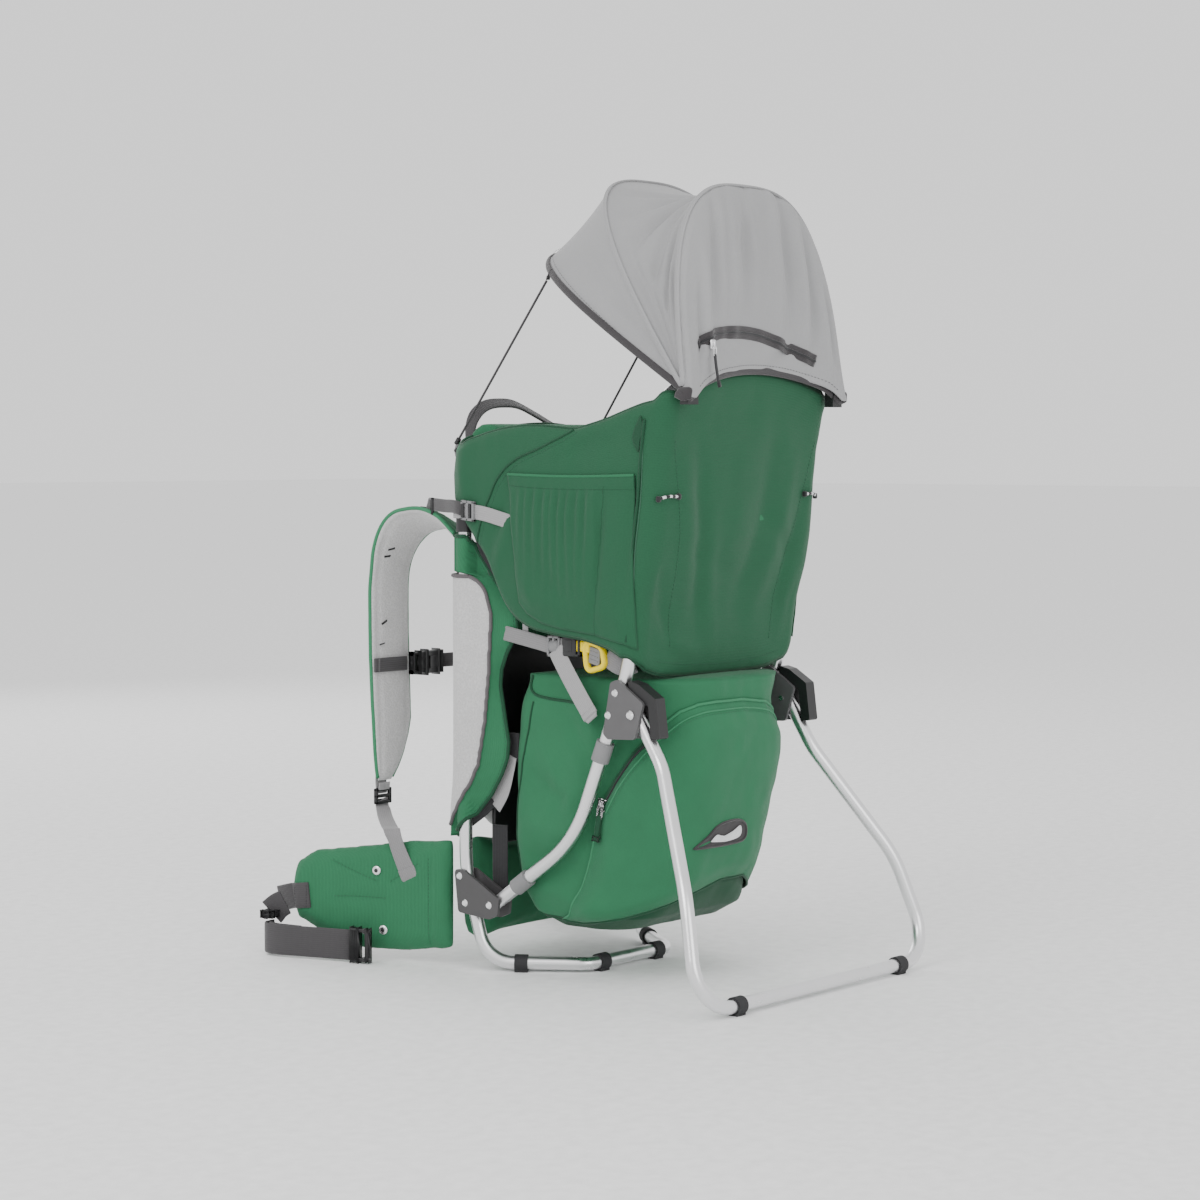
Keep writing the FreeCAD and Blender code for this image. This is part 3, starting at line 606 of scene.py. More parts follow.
# ---- camera, light and floor ----------------------------------------------------
WORLD_STRENGTH, KEY_POWER, FILL_POWER, FRONT_POWER = 1.2, 50.0, 35.0, 30.0
SENSOR_MM, LENS_MM = 36.0, 83.09
CAMERA_PLACE = (2.6025, 2.1915, 0.6302)
AZIMUTH, PITCH = math.radians(130.01), math.radians(3.11)
camera_data = bpy.data.cameras.new("Camera")
camera = bpy.data.objects.new("Camera", camera_data)
bpy.context.scene.collection.objects.link(camera)
camera_data.sensor_width = SENSOR_MM
camera_data.lens = LENS_MM
camera_data.clip_end = 100.0
camera.location = CAMERA_PLACE
BACK = V(math.sin(AZIMUTH) * math.cos(PITCH), -math.cos(AZIMUTH) * math.cos(PITCH), math.sin(PITCH))
camera.rotation_mode = "QUATERNION"
camera.rotation_quaternion = (-BACK).to_track_quat("-Z", "Y")
bpy.context.scene.camera = camera

world = bpy.data.worlds.new("Studio")
bpy.context.scene.world = world
world.use_nodes = True
world.node_tree.nodes["Background"].inputs["Color"].default_value = (1.0, 1.0, 1.0, 1)
world.node_tree.nodes["Background"].inputs["Strength"].default_value = WORLD_STRENGTH


def area_light(name, place, target, size, power):
    data = bpy.data.lights.new(name, "AREA")
    data.shape = "DISK"
    data.size = size
    data.energy = power
    light = bpy.data.objects.new(name, data)
    bpy.context.scene.collection.objects.link(light)
    light.location = place
    light.rotation_euler = (Vector(target) - Vector(place)).to_track_quat("-Z", "Y").to_euler()


area_light("Key", (3.4, 0.2, 2.6), (0, 0, 0.45), 2.2, KEY_POWER)
area_light("Fill", (1.2, 3.6, 1.6), (0, 0, 0.45), 2.6, FILL_POWER)
area_light("Front", (-1.5, -3.2, 2.0), (0, 0, 0.5), 2.4, FRONT_POWER)

FLOOR_HALF = 40.0
floor_mesh = bpy.data.meshes.new("Floor")
floor_mesh.from_pydata([(FLOOR_HALF * x, FLOOR_HALF * y, 0) for x, y in ((-1, -1), (1, -1), (1, 1), (-1, 1))],
                       [], [(0, 1, 2, 3)])
floor = link_object("Floor", floor_mesh)
floor_mesh.materials.append(plastic("floor", (0.92, 0.92, 0.92), 0.9, grain=40.0))


# ---- elastic cords --------------------------------------------------------------
CORD_TOP, CORD_END = V(120, 48, 832), V(127, -92, 640)
CORD_D = 3.0
along = (CORD_TOP - CORD_END).normalized() * CORD_D
for side, word in SIDES:
    low, high = CORD_END + along, CORD_TOP - along
    ends = [sided(p, side) for p in (low, high)]
    path = straight(ends, 4.0)
    cord = Kit().tube(path, CORD_D / 2, sides=12).make("elastic_" + word, [CORD])
    wrap_up(cord, None, "elastic_cord", "elastic_cord_" + word)
    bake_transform(cord)

# ---- CAD parts that stay, with their materials ----------------------------------
KEPT = (
    (TUBE, "front_frame_tube", "rear_frame_tube", "front_crossbar", "kickstand_tube"),
    (BRACKET_DARK, "lower_brackets"),
    (BRACKET, "upper_brackets"),
    (STEEL, "frame_rivets", "kickstand_pins"),
    (GREY, "tube_sleeves"),
    (RUBBER, "front_foot_pads", "kickstand_foot_pads"),
    (BLACK, "hinge_covers", "crossbar_saddles", "bow_sockets", "back_plate"),
    (ROD, "rear_bow", "front_bow"),
)
for mat, *names in KEPT:
    for name in names:
        cover(NODES[name].data, [mat])


# ---- canopy ---------------------------------------------------------------------
HINGE = V(0, 277, 697)
BOW_X = 150.0
REAR_BOW, FRONT_BOW, VISOR_RIM = (7.0, 241.0), (34.9, 308.0), (57.5, 314.0)
ARCH_POWER, RIM_POWER = 3.0, 3.6
ARCH_COLUMNS = 120


def arch(plane, power, count=ARCH_COLUMNS, half=BOW_X):
    """Evenly spaced points on an arch over the hinge line, from the wearer's left to the right."""
    lean = math.radians(plane[0])
    raw = []
    for k in range(401):
        t = math.pi * k / 400
        c, s = math.cos(t), max(0.0, math.sin(t))
        rise = s ** (2 / power) * plane[1]
        raw.append(V(math.copysign(abs(c) ** (2 / power), c) * half,
                     HINGE.y - math.sin(lean) * rise, HINGE.z + math.cos(lean) * rise))
    return spaced(raw, count)


def outward(p, plane):
    lean = math.radians(plane[0])
    heart = HINGE + V(0, -math.sin(lean), math.cos(lean)) * plane[1] * 0.35
    return (p - heart).normalized()


REAR_ARCH = arch(REAR_BOW, ARCH_POWER)
FRONT_ARCH = arch(FRONT_BOW, ARCH_POWER)
RIM_ARCH = arch(VISOR_RIM, RIM_POWER)
ARCH_LENGTH = 690.0
ROOF_DEPTH = 190.0
FOLD_DEPTH = 1.5
# (start, end, width, depth) in millimetres along the arch and across the roof.
ROOF_SIDE_FOLDS = [
    ((318, 6), (226, 176), 9, -9), ((300, 4), (176, 168), 9, -9), ((330, 30), (262, 186), 7, -5),
    ((282, 0), (126, 128), 9, -9), ((10, 120), (190, 168), 12, -4.5), ((8, 96), (150, 140), 9, -3.5),
    ((20, 30), (200, 24), 7, -4)]
ROOF_FOLDS = ROOF_SIDE_FOLDS + mirrored(ROOF_SIDE_FOLDS, ARCH_LENGTH / 2) + [
    ((300, 14), (240, 150), 6, 4.5), ((262, 12), (150, 110), 6, 5.0), ((250, 4), (70, 96), 8, -7),
    ((236, 6), (40, 70), 7, 4), ((6, 60), (130, 100), 9, 3), ((440, 8), (606, 96), 8, -7)]


def roof_point(f, s):
    k = f * ARCH_COLUMNS
    i = min(int(k), ARCH_COLUMNS - 1)
    a = REAR_ARCH[i].lerp(REAR_ARCH[i + 1], k - i)
    b = FRONT_ARCH[i].lerp(FRONT_ARCH[i + 1], k - i)
    plane = (REAR_BOW[0] + (FRONT_BOW[0] - REAR_BOW[0]) * s, REAR_BOW[1] + (FRONT_BOW[1] - REAR_BOW[1]) * s)
    p = a.lerp(b, s)
    spread = min(1.0, (a - b).length / 90)
    push = -15.0 * math.sin(math.pi * s) * spread
    push += 1.6 * (bump(s * ROOF_DEPTH, 6) + bump((1 - s) * ROOF_DEPTH, 6)) * spread
    push += FOLD_DEPTH * creases(f * ARCH_LENGTH, s * ROOF_DEPTH, ROOF_FOLDS) * spread
    push += 1.2 * wave(f * 16, s * 4, 0.3) * math.sin(math.pi * s) * spread
    return p + outward(p, plane) * push


rows = grid(27, ARCH_COLUMNS + 1, lambda i, j: roof_point(i / ARCH_COLUMNS, j / 26))
roof = skin("canopy_roof", rows, [CANOPY], thick=1.2, subdivide=1)
wrap_up(roof, None, "canopy_fabric", "canopy_roof_panel")
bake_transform(roof)

VISOR_DEPTH = 84.0
VISOR_FOLDS = [((20, 6), (150, 60), 10, -2.5), ((640, 6), (510, 60), 10, -2.5), ((40, 4), (230, 30), 8, 2.0),
               ((650, 4), (460, 30), 8, 2.0), ((345, 4), (330, 70), 16, -2.0)]


def visor_point(i, s):
    a, b = FRONT_ARCH[i], RIM_ARCH[i]
    p = a.lerp(b, s)
    spread = min(1.0, (a - b).length / 60)
    push = -3.5 * math.sin(math.pi * s) * spread + 1.8 * bump(s * VISOR_DEPTH, 6) * spread
    push += creases(i / ARCH_COLUMNS * ARCH_LENGTH, s * VISOR_DEPTH, VISOR_FOLDS) * spread
    return p + outward(p, VISOR_RIM) * push


rows = grid(15, ARCH_COLUMNS + 1, lambda i, j: visor_point(i, j / 14))
visor = skin("canopy_visor", rows, [CANOPY], thick=1.2, subdivide=1)
wrap_up(visor, "visor", "canopy_fabric", "visor_panel")

# Bow sleeves: each rod runs in a narrow fabric tunnel with a felled seam on top.
for bow, plane, name, body in ((FRONT_ARCH, FRONT_BOW, "front_bow_sleeve", "visor"),
                               (REAR_ARCH, REAR_BOW, "rear_bow_sleeve", ROOT)):
    sleeve = Kit()
    ridge = [p + outward(p, plane) * 0.8 for p in bow[1:-1]]
    ups = [outward(p, plane) for p in ridge]
    sleeve.tube(ridge, 3.6, flat=0.5, up=ups)
    sleeve.tube([p + u * 1.6 for p, u in zip(ridge, ups)], 1.0, sides=6, flat=0.7, up=ups)
    sleeve.place(name, [CANOPY], "canopy_fabric", body=body)

edge = Kit()
rim = RIM_ARCH[1:-1]
ups = [outward(p, VISOR_RIM) for p in rim]
edge.tube([HINGE + V(BOW_X, 0, -3)] + rim + [HINGE + V(-BOW_X, 0, -3)], 4.6, sides=12, flat=0.5,
          up=[ups[0]] + ups + [ups[-1]])
inner_rim = [p.lerp(FRONT_ARCH[i + 1], 0.10) + outward(p, VISOR_RIM) * 1.1 for i, p in enumerate(rim)]
stitches(edge, inner_rim[3:-3], CANOPY_SEAM, 1)
edge.place("visor_binding", [BINDING, THREAD], "canopy_fabric", body="visor")


HEM_SIDE_Z, HEM_RISE = 694, 27      # hem height at the sides, and how much it climbs to the middle
HEM_SIDE_Y, HEM_DIP = 283, 16


def hem_z(x):
    return HEM_SIDE_Z + HEM_RISE * max(0.0, 1 - (x / 142) ** 2) ** 0.9 - 6 * bump(abs(x) - 146, 16)


def hem_y(x):
    return HEM_SIDE_Y - HEM_DIP * max(0.0, 1 - (x / BOW_X) ** 2) ** 1.2


BACK_FOLDS = [
    ((60, 30), (38, 224), 9, 4.5), ((30, 60), (6, 236), 8, -5.5), ((-34, 20), (-40, 230), 7, 5.0),
    ((-58, 50), (-60, 232), 6, -6.5), ((-82, 10), (-80, 216), 6, 5.0), ((-100, 40), (-96, 196), 5, -5.5),
    ((98, 70), (70, 214), 7, -5.0), ((114, 20), (104, 160), 6, 3.5), ((0, 110), (14, 238), 5, 3.0),
    ((84, 40), (60, 226), 6, 3.5), ((40, 6), (90, 44), 6, 3.0), ((-10, 2), (-70, 40), 6, -3.0),
    ((-118, 4), (-112, 120), 6, 4.0), ((130, 10), (118, 120), 6, -3.5), ((-132, 30), (-124, 130), 5, -3.5)]


def back_point(i, s):
    top = REAR_ARCH[i]
    x = top.x
    low = V(x, hem_y(x), min(hem_z(x), top.z))
    p = low.lerp(top, s)
    height = (top - low).length
    inside = min(1.0, height / 120)
    push = 13.0 * math.sin(math.pi * min(1.0, s * 1.04)) ** 0.8 * inside * (1 - (abs(x) / BOW_X) ** 4)
    push += FOLD_DEPTH * creases(x, s * height, BACK_FOLDS) * inside
    push += 1.4 * wave(x / 16, s * height / 80, 3.1) * math.sin(math.pi * s) * inside
    # Clear of the rear bow, which runs just inside the panel's edge.
    gap = min((p - q).length for q in REAR_ARCH)
    push += 6.0 * ease(gap / 5) * (1 - ease((gap - 15) / 60))
    return p + V(0, 1, 0.05) * push


rows = grid(41, ARCH_COLUMNS + 1, lambda i, j: back_point(i, j / 40))
back = skin("canopy_back", rows, [CANOPY], thick=1.2, flip=True, subdivide=1)
wrap_up(back, ROOT, "canopy_fabric", "canopy_back_panel")
BACK_TREE = surface(back)

hem = Kit()
hem_line = [V(x, hem_y(x), hem_z(x) + 1) for x in [150 - 300 * k / 60 for k in range(61)]]
ups = [V(0, 1, 0.15)] * len(hem_line)
hem.tube(hem_line, 4.8, sides=12, flat=0.5, up=ups)
stitches(hem, lay_on(BACK_TREE, [p + V(0, 0, 6.5) for p in hem_line[3:-3]], (0, -1, 0), 0.3), CANOPY_SEAM, 1)
for side in (1, -1):
    tip = HINGE + V(side * BOW_X, 0, 0)
    hem.tube(curve([V(side * 146, 283, 692), tip + V(side * 3, 2, -8), tip + V(side * 4, -8, -4)], 2), 4.6, 0,
             sides=10, flat=0.6, up=V(side, 0, 0))
    hem.block(tip + V(side * 0.5, 2, -4), AXES, (9, 20, 15), 4)
hem.place("canopy_hem", [BINDING, THREAD], "canopy_fabric")

# Stowage zip across the back panel, with its tape and coil.
ZIP_LINE = [V(132, 320, 745), V(112, 320, 757), V(80, 320, 763), V(40, 320, 765), V(0, 320, 762),
            V(-40, 320, 753), V(-70, 320, 744), V(-98, 320, 735)]
tape = lay_on(BACK_TREE, curve(ZIP_LINE, 3), (0, -1, 0), 0.5)
band = Kit()
band.band(tape, V(0, 0.1, 1), 15, 0.9)
coil = lay_on(BACK_TREE, curve(ZIP_LINE, 1.5), (0, -1, 0), 1.3)
band.tube(coil, 1.6, 1, sides=8, flat=0.6, up=Y)
band.place("canopy_zip", [BINDING, WEB_BLACK], "canopy_fabric")

slide = Kit()
at = V(113, 288.5, 743) + V(0, 0, 6)
slide.block(at + V(0, 0.6, 0), AXES, (9, 3.6, 11), 1.2)
slide.block(at + V(0, 3.2, 0), AXES, (2.2, 2.0, 7), 0.8)
slide.frame_ring(at + V(0, 4.0, -8), ((0, 0, 1), (1, 0, 0), (0, 1, 0)), (11, 6), 1.2, 1.2, bevel=0.4)
pull = curve([at + V(0, 4, -11), at + V(-1, 4.5, -22), at + V(-5, 4, -36), at + V(-9, 4, -48)], 2)
slide.band(pull, X, 4.2, 1.4, 1)
slide.tube(pull[-4:], 2.6, 1, sides=8, flat=0.7, up=Y)
slide.place("canopy_slider", [ZIP_METAL, WEB_BLACK], "zip_metal", "canopy_zip_slider", body="canopy_slider")

# Tabs that hold the elastic at the visor's corners.
def anchor(kit):
    kit.band(curve([(119, 54, 844), (120, 50, 838), (120, 47, 831)], 1.5), V(0.8, 0.3, -0.5), 9, 1.6)
    kit.tube(curve([CORD_TOP + V(0, 0, -1), CORD_TOP + V(0, 1, 3)], 1), 2.4, 1)


pair(anchor, "visor_tab", [BINDING, BLACK], "visor", "black_plastic", ["cord_anchors"])


# ---- cabin ----------------------------------------------------------------------
CABIN_X = 158.0
CABIN_FLOOR = 366                   # lower edge at mid rear
NOSE_LOW, NOSE_TOP = 574, 634       # lower edge at mid front, upper edge at the front corners
REAR_LINE = [(366, 208), (415, 213), (446, 217), (495, 230), (532, 238), (576, 242), (630, 248), (672, 258),
             (700, 268), (726, 274)]
SIDE_TOP = [(-62, 636), (-45, 642), (-27, 648), (-1, 654), (30, 657), (60, 656.5), (110, 652), (154, 664),
            (200, 680), (270, 694)]
SIDE_LOW = [(-60, 556), (-30, 520), (-12, 500), (2, 470), (20, 446), (37, 432), (65, 421), (99, 416),
            (156, 411), (202, 402), (222, 392)]


def rounded(s, half, y0, y1, rf, rr):
    """Point and outward direction `s` along a rounded rectangle, from mid rear round to mid front."""
    if s <= half - rr:
        return s, y1, 0, 1
    s -= half - rr
    if s <= rr * math.pi / 2:
        t = s / rr
        return half - rr + rr * math.sin(t), y1 - rr + rr * math.cos(t), math.sin(t), math.cos(t)
    s -= rr * math.pi / 2
    wall = y1 - rr - y0 - rf
    if s <= wall:
        return half, y1 - rr - s, 1, 0
    s -= wall
    if s <= rf * math.pi / 2:
        t = s / rf
        return half - rf + rf * math.cos(t), y0 + rf - rf * math.sin(t), math.cos(t), -math.sin(t)
    return max(0.0, half - rf - (s - rf * math.pi / 2)), y0, 0, -1


# Shares of half the cabin's outline that one side wall and one corner take.
WALL_SHARE, CORNER_SHARE = 0.24, 0.07


def box_outline(p, half, y0, y1, rf, rr):
    """Rounded rectangle with fixed shares for its walls and corners; p runs 0 to 0.5 from rear to front."""
    back = 0.5 - WALL_SHARE - 2 * CORNER_SHARE
    share = back * (half - rr) / ((half - rr) + (half - rf))
    cuts = [0, share, share + CORNER_SHARE, share + CORNER_SHARE + WALL_SHARE,
            share + 2 * CORNER_SHARE + WALL_SHARE, 0.5]
    k = max(i for i in range(5) if p >= cuts[i] - 1e-9)
    t = min(1.0, (p - cuts[k]) / (cuts[k + 1] - cuts[k]))
    runs = (half - rr, rr * math.pi / 2, y1 - rr - y0 - rf, rf * math.pi / 2, half - rf)
    return rounded(sum(runs[:k]) + runs[k] * t, half, y0, y1, rf, rr)


def cabin_outline(p, z):
    side = 1 if p <= 0.5 else -1
    q = p if p <= 0.5 else 1 - p
    front = table([(500, -82), (600, -84), (640, -80), (664, -66)], z)
    x, y, nx, ny = box_outline(q, CABIN_X, front, table(REAR_LINE, z), 34, 24)
    return V(side * x, y, z), V(side * nx, ny, 0)


def cabin_span(p):
    """Lower and upper edge of the cabin at a place on its outline."""
    at, n = cabin_outline(p, 560)
    x, y = at.x, at.y
    if n.y > 0.3:
        low = CABIN_FLOOR + 30 * (abs(x) / CABIN_X) ** 5
        high = HEM_SIDE_Z + 26 * max(0.0, 1 - (x / 140) ** 2) ** 0.9
    elif n.y < -0.3:
        low = NOSE_LOW - 14 * (abs(x) / CABIN_X) ** 4
        high = NOSE_TOP + 27 * math.cos(min(1.0, abs(x) / 150) * math.pi / 2) ** 0.8
    else:
        low = table(SIDE_LOW, y)
        high = table(SIDE_TOP, y)
    return low, high


COLUMNS = 288
SPANS = [cabin_span(i / COLUMNS) for i in range(COLUMNS)]
for k in range(5):
    SPANS = [tuple((SPANS[i - 1][e] + 2 * SPANS[i][e] + SPANS[(i + 1) % COLUMNS][e]) / 4 for e in (0, 1))
             for i in range(COLUMNS)]
# Folds on the sides, in (y, z), and on the rear panel, in (x, z).
SIDE_FOLDS = [
    ((-14, 500), (30, 600), 12, -3.0), ((0, 480), (24, 560), 9, 2.5), ((212, 420), (236, 640), 10, 3.0),
    ((196, 430), (214, 600), 9, -3.0), ((150, 655), (60, 618), 10, 2.0), ((200, 640), (110, 630), 12, -2.0),
    ((-50, 560), (-56, 632), 12, 2.5)]
REAR_FOLDS = [((120, 640), (70, 420), 14, 4.0), ((96, 660), (40, 400), 12, -4.0),
              ((60, 560), (10, 380), 14, 3.5), ((-60, 660), (-20, 420), 15, -4.0),
              ((-100, 640), (-60, 430), 13, 4.0), ((-126, 600), (-100, 440), 10, -4.0),
              ((134, 500), (90, 384), 10, -3.0), ((0, 640), (6, 470), 22, 3.0),
              ((-130, 500), (-112, 396), 9, 3.0), ((100, 520), (-40, 470), 12, -2.5),
              ((-40, 560), (-120, 500), 12, -3.0), ((130, 420), (40, 392), 9, 2.5)]


def cabin_point(i, s):
    low, high = SPANS[i]
    z = low + (high - low) * s
    p, n = cabin_outline(i / COLUMNS, z)
    rear, flank, nose = max(0.0, n.y), abs(n.x), max(0.0, -n.y)
    free = math.sin(math.pi * min(1.0, max(0.0, s))) ** 0.6
    push = rear * (free * 4.0 * (1 - (p.x / 150) ** 2) + creases(p.x, z, REAR_FOLDS))
    push -= rear * 10 * ease((z - 640) / 80) * max(0.0, 1 - (p.x / 140) ** 2)
    push -= rear * 5 * bump(z - 470, 60) * (1 - (abs(p.x) / 150) ** 4)
    push += flank * (free * 2.5 * math.sin(math.pi * min(1.0, max(0.0, (p.y + 60) / 280)))
                     + creases(p.y, z, SIDE_FOLDS))
    push += nose * free * 5 * (1 - (p.x / 150) ** 4)
    push += 1.3 * wave(p.x / 42, p.y / 42, z / 60) + 0.5 * wave(p.x / 12, p.y / 12, z / 26)
    push -= 2.5 * bump((1 - s) * (high - low), 5) + 2.0 * bump(s * (high - low), 5)
    return p + n * push


ROWS = 64
rows = grid(ROWS + 1, COLUMNS, lambda i, j: cabin_point(i, j / ROWS))
cabin = skin("cabin_body", rows, [GREEN, LINING], thick=2.2, wrap=True)
wrap_up(cabin, ROOT, "green_fabric", "cabin_shell")
CABIN_TREE = surface(cabin)


def cabin_line(points, lift=0.6, side=1, step=3.0):
    """(y, z) seam points laid on the cabin's side."""
    path = curve([V(side * 200, y, z) for y, z in points], step)
    return lay_on(CABIN_TREE, path, (-side, 0, 0), lift)


def rear_line(points, lift=0.6, step=3.0):
    path = curve([V(x, 320, z) for x, z in points], step)
    return lay_on(CABIN_TREE, path, (0, -1, 0), lift)


trim = Kit()
top_edge = [rows[-1][i] for i in range(COLUMNS)]
low_edge = [rows[0][i] for i in range(COLUMNS)]
edge_ups = [cabin_outline(i / COLUMNS, 560)[1] for i in range(COLUMNS)]
inward = [p - n * 1.1 for p, n in zip(top_edge, edge_ups)]
trim.tube(inward, 3.4, cyclic=True, flat=0.75, up=edge_ups)
inward = [p - n * 1.1 for p, n in zip(low_edge, edge_ups)]
trim.tube(inward, 3.2, cyclic=True, flat=0.75, up=edge_ups)
FRAME_TUBE_X, FRAME_TUBE_Y = 145.6, -62
ARC_SEAM = [(-30, 520), (-20, 552), (-9, 573), (5, 596), (31, 617), (75, 633), (112, 648), (125, 656)]
for side in (1, -1):
    # Sewn cup that closes the top of the front frame tube.
    trim.tube([V(side * FRAME_TUBE_X, FRAME_TUBE_Y, 600 + 2 * k) for k in range(20)],
              lambda f: 10.4 * math.sqrt(max(0.08, 1 - max(0.0, (f - 0.7) / 0.3) ** 2)), 3, sides=20)
    trim.tube(cabin_line(ARC_SEAM, 0.4, side), 1.3, sides=8)
    stitches(trim, cabin_line([(y + 5, z - 4) for y, z in ARC_SEAM], 0.25, side), ARC_ROW, 2)
    trim.tube(cabin_line([(229, 664), (226, 640), (219, 573), (211, 512), (206, 458), (200, 410)], 0.8,
                         side), 2.0, 1, sides=8)
    trim.tube(cabin_line([(y + 8, z) for y, z in ((221, 660), (219, 640), (215, 573), (207, 512), (202, 458),
                                                  (197, 418))], 0.3, side), 0.7, 2, sides=6)
    # Dark green lens laid on the side in the fold by the rear corner: painted shade of the fold.
    fold = cabin_line([(224, 668), (222, 656), (218, 642), (221, 628)], 1.2, side)
    trim.band(fold, Y, lambda f: 2 + 11 * math.sin(math.pi * f), 1.2, 1)
    stitches(trim, rear_line([(side * x, z) for x, z in ((136, 640), (118, 560), (104, 480), (96, 400))],
                             0.3), SEAM, 2)
stitches(trim, rear_line([(-120, 386), (-60, 379), (0, 377), (60, 379), (120, 386)], 0.3), SEAM, 2)
trim.place("cabin_trim", [DARK_GREEN, DARK_GREEN, THREAD_GREEN, GREEN], "green_fabric")

# Stretch pocket on each side, gathered under an elastic hem.
GATHERS = [28, 43, 55, 70, 84, 97, 108, 122, 135, 149, 158]
POCKET_Y, POCKET_DEPTH, POCKET_HEM_Z = 22, 192, 601
POCKET_FOLDS = [((172, 590), (156, 425), 6, -4.0), ((60, 520), (120, 440), 14, -2.0),
                ((40, 500), (70, 430), 10, 2.0)]


def side_pocket_point(i, j):
    """(y, z) on the cabin's side and how far the pocket stands off it."""
    f, s = i / 100, j / 48
    y = POCKET_Y + POCKET_DEPTH * f
    middle = math.sin(math.pi * f)
    high = POCKET_HEM_Z - 2 * middle
    low = table(SIDE_LOW, y) + 5
    z = low + (high - low) * s
    y += (6 * (1 - f) - 4 * f) * (1 - s) + 12 * (1 - f) ** 2 * (1 - s)
    drop = high - z
    gather = sum(bump(y - g - 4 * wave(g, s * 2, 0), 4.2) for g in GATHERS)
    push = 1.2 + 5.5 * middle ** 0.5 * ease(drop / 50) * ease(s * 6)
    push += 4.4 * (gather - 0.5) * ease((drop - 10) / 16) * max(0.0, 1 - drop / 150) * middle ** 0.4
    push += 1.0 * bump(drop - 9, 6) + creases(y, z, POCKET_FOLDS)
    return y, z, push


def beside_cabin(p, push, side):
    """A laid point pushed outwards; one that missed the cabin goes to the cabin's full width."""
    return V(p.x + side * push, p.y, p.z) if abs(p.x) < 190 else V(side * (CABIN_X + push), p.y, p.z)


for side, word in SIDES:
    laid = []
    for line in grid(49, 101, side_pocket_point):
        flat = lay_on(CABIN_TREE, [V(side * 200, y, z) for y, z, push in line], (-side, 0, 0), 0, keep=True)
        laid.append([beside_cabin(p, push, side) for p, (y, z, push) in zip(flat, line)])
    pocket = skin("side_pocket_" + word, laid, [GREEN, LINING], thick=1.0, flip=side > 0)
    wrap_up(pocket, ROOT, "green_fabric")
    hem_kit = Kit()
    outer = V(side, 0, 0)
    hem_kit.tube([p + outer * 0.2 for p in laid[-1]], 1.8, sides=8, flat=0.8, up=outer)
    hem_kit.tube([p + outer * 0.5 for p in laid[-5]], 0.7, 1, sides=6)
    hem_kit.tube([row[-1] for row in laid], 1.0, 1, sides=6)
    hem_kit.tube([row[0] for row in laid], 1.0, 1, sides=6)
    seam_line = [row[round((134 + 16 * k / 48) / POCKET_DEPTH * 100)] + outer * 0.4
                 for k, row in enumerate(laid[:46])]
    hem_kit.tube(seam_line, 0.8, 1, sides=6)
    hem_kit.place("side_pocket_hem_" + word, [GREEN, DARK_GREEN], "green_fabric")

# Small striped cord loops beside the rear panel.
for side, word in SIDES:
    loop = Kit()
    line = rear_line([(side * 150, 574), (side * 140, 577), (side * 124, 577)], 3.2, 2.0)
    stripes = len(line) // 2
    for k in range(stripes):
        loop.tube(line[2 * k:2 * k + 3], 1.9, k % 2)
    loop.block(line[0], AXES, (5, 5, 7), 1.5)
    loop.block(line[-1], AXES, (5, 5, 7), 1.5)
    loop.place("cord_loop_" + word, [WEB_BLACK, REFLECTIVE], "green_fabric")


# ---- lower bag ------------------------------------------------------------------
BAG = [(62, 108, 52, 148, 20, 44), (78, 124, 22, 176, 20, 62), (111, 130, 6, 202, 20, 92),
       (150, 131, 2, 218, 20, 96), (210, 131, 2, 232, 20, 98), (270, 131, 4, 246, 20, 98),
       (330, 131, 8, 252, 20, 98), (362, 128, 12, 252, 20, 94)]


def bag_sizes(z):
    """Half width, front, rear, front radius and rear radius at one height."""
    return [table([(row[0], row[k]) for row in BAG], z) for k in (1, 2, 3, 4, 5)]


def bag_outline(a, z):
    """Point and outward direction at arc length `a` from mid rear; positive towards the wearer's left."""
    x, y, nx, ny = rounded(abs(a), *bag_sizes(z))
    side = 1 if a >= 0 else -1
    return V(side * x, y, z), V(side * nx, ny, 0)


def bag_length(z):
    half, y0, y1, rf, rr = bag_sizes(z)
    return 2 * half - rr - rf + (rr + rf) * math.pi / 2 + y1 - rr - y0 - rf


# Folds in (arc length, z).
FLANK_FOLDS = [
    ((262, 330), (200, 240), 12, -4.5), ((300, 300), (240, 220), 13, 4.0), ((318, 250), (214, 200), 12, -4.0),
    ((296, 190), (200, 170), 14, 4.0), ((310, 150), (180, 130), 13, -4.0), ((240, 240), (196, 130), 11, 3.0),
    ((270, 110), (150, 90), 10, 3.5), ((150, 200), (110, 130), 14, -3.0)]
BAG_FOLDS = FLANK_FOLDS + mirrored(FLANK_FOLDS) + [((216, 330), (206, 280), 9, 3.0)]
POCKET_TOP = [(-188, 222), (-150, 262), (-112, 298), (-84, 318), (-50, 330), (0, 336), (50, 336), (76, 334),
              (100, 326), (124, 308), (150, 280), (166, 252), (180, 216)]
DARK_TOP = [(-400, 66), (-200, 70), (-120, 92), (-60, 118), (-12, 118), (38, 106), (76, 95), (110, 84),
            (150, 72), (220, 74), (400, 90)]


def bag_push(a, z):
    push = creases(a, z, BAG_FOLDS)
    push += 2.2 * wave(a / 60, z / 50, 7.0) + 0.9 * wave(a / 18, z / 22, 9.0)
    push += 3.5 * math.sin(math.pi * min(1.0, max(0.0, (z - 70) / 280)))
    push -= 4.0 * bump(z - 352, 14)
    return push


def pocket_push(a, z):
    """Bulge of the rear pocket inside its own outline."""
    drop = table(POCKET_TOP, a) - z
    edge = min(drop, (190 - abs(a)) * 0.9, z - table(DARK_TOP, a) + 14)
    return 10.0 * ease(edge / 34) + 2.0 * ease(edge / 7)


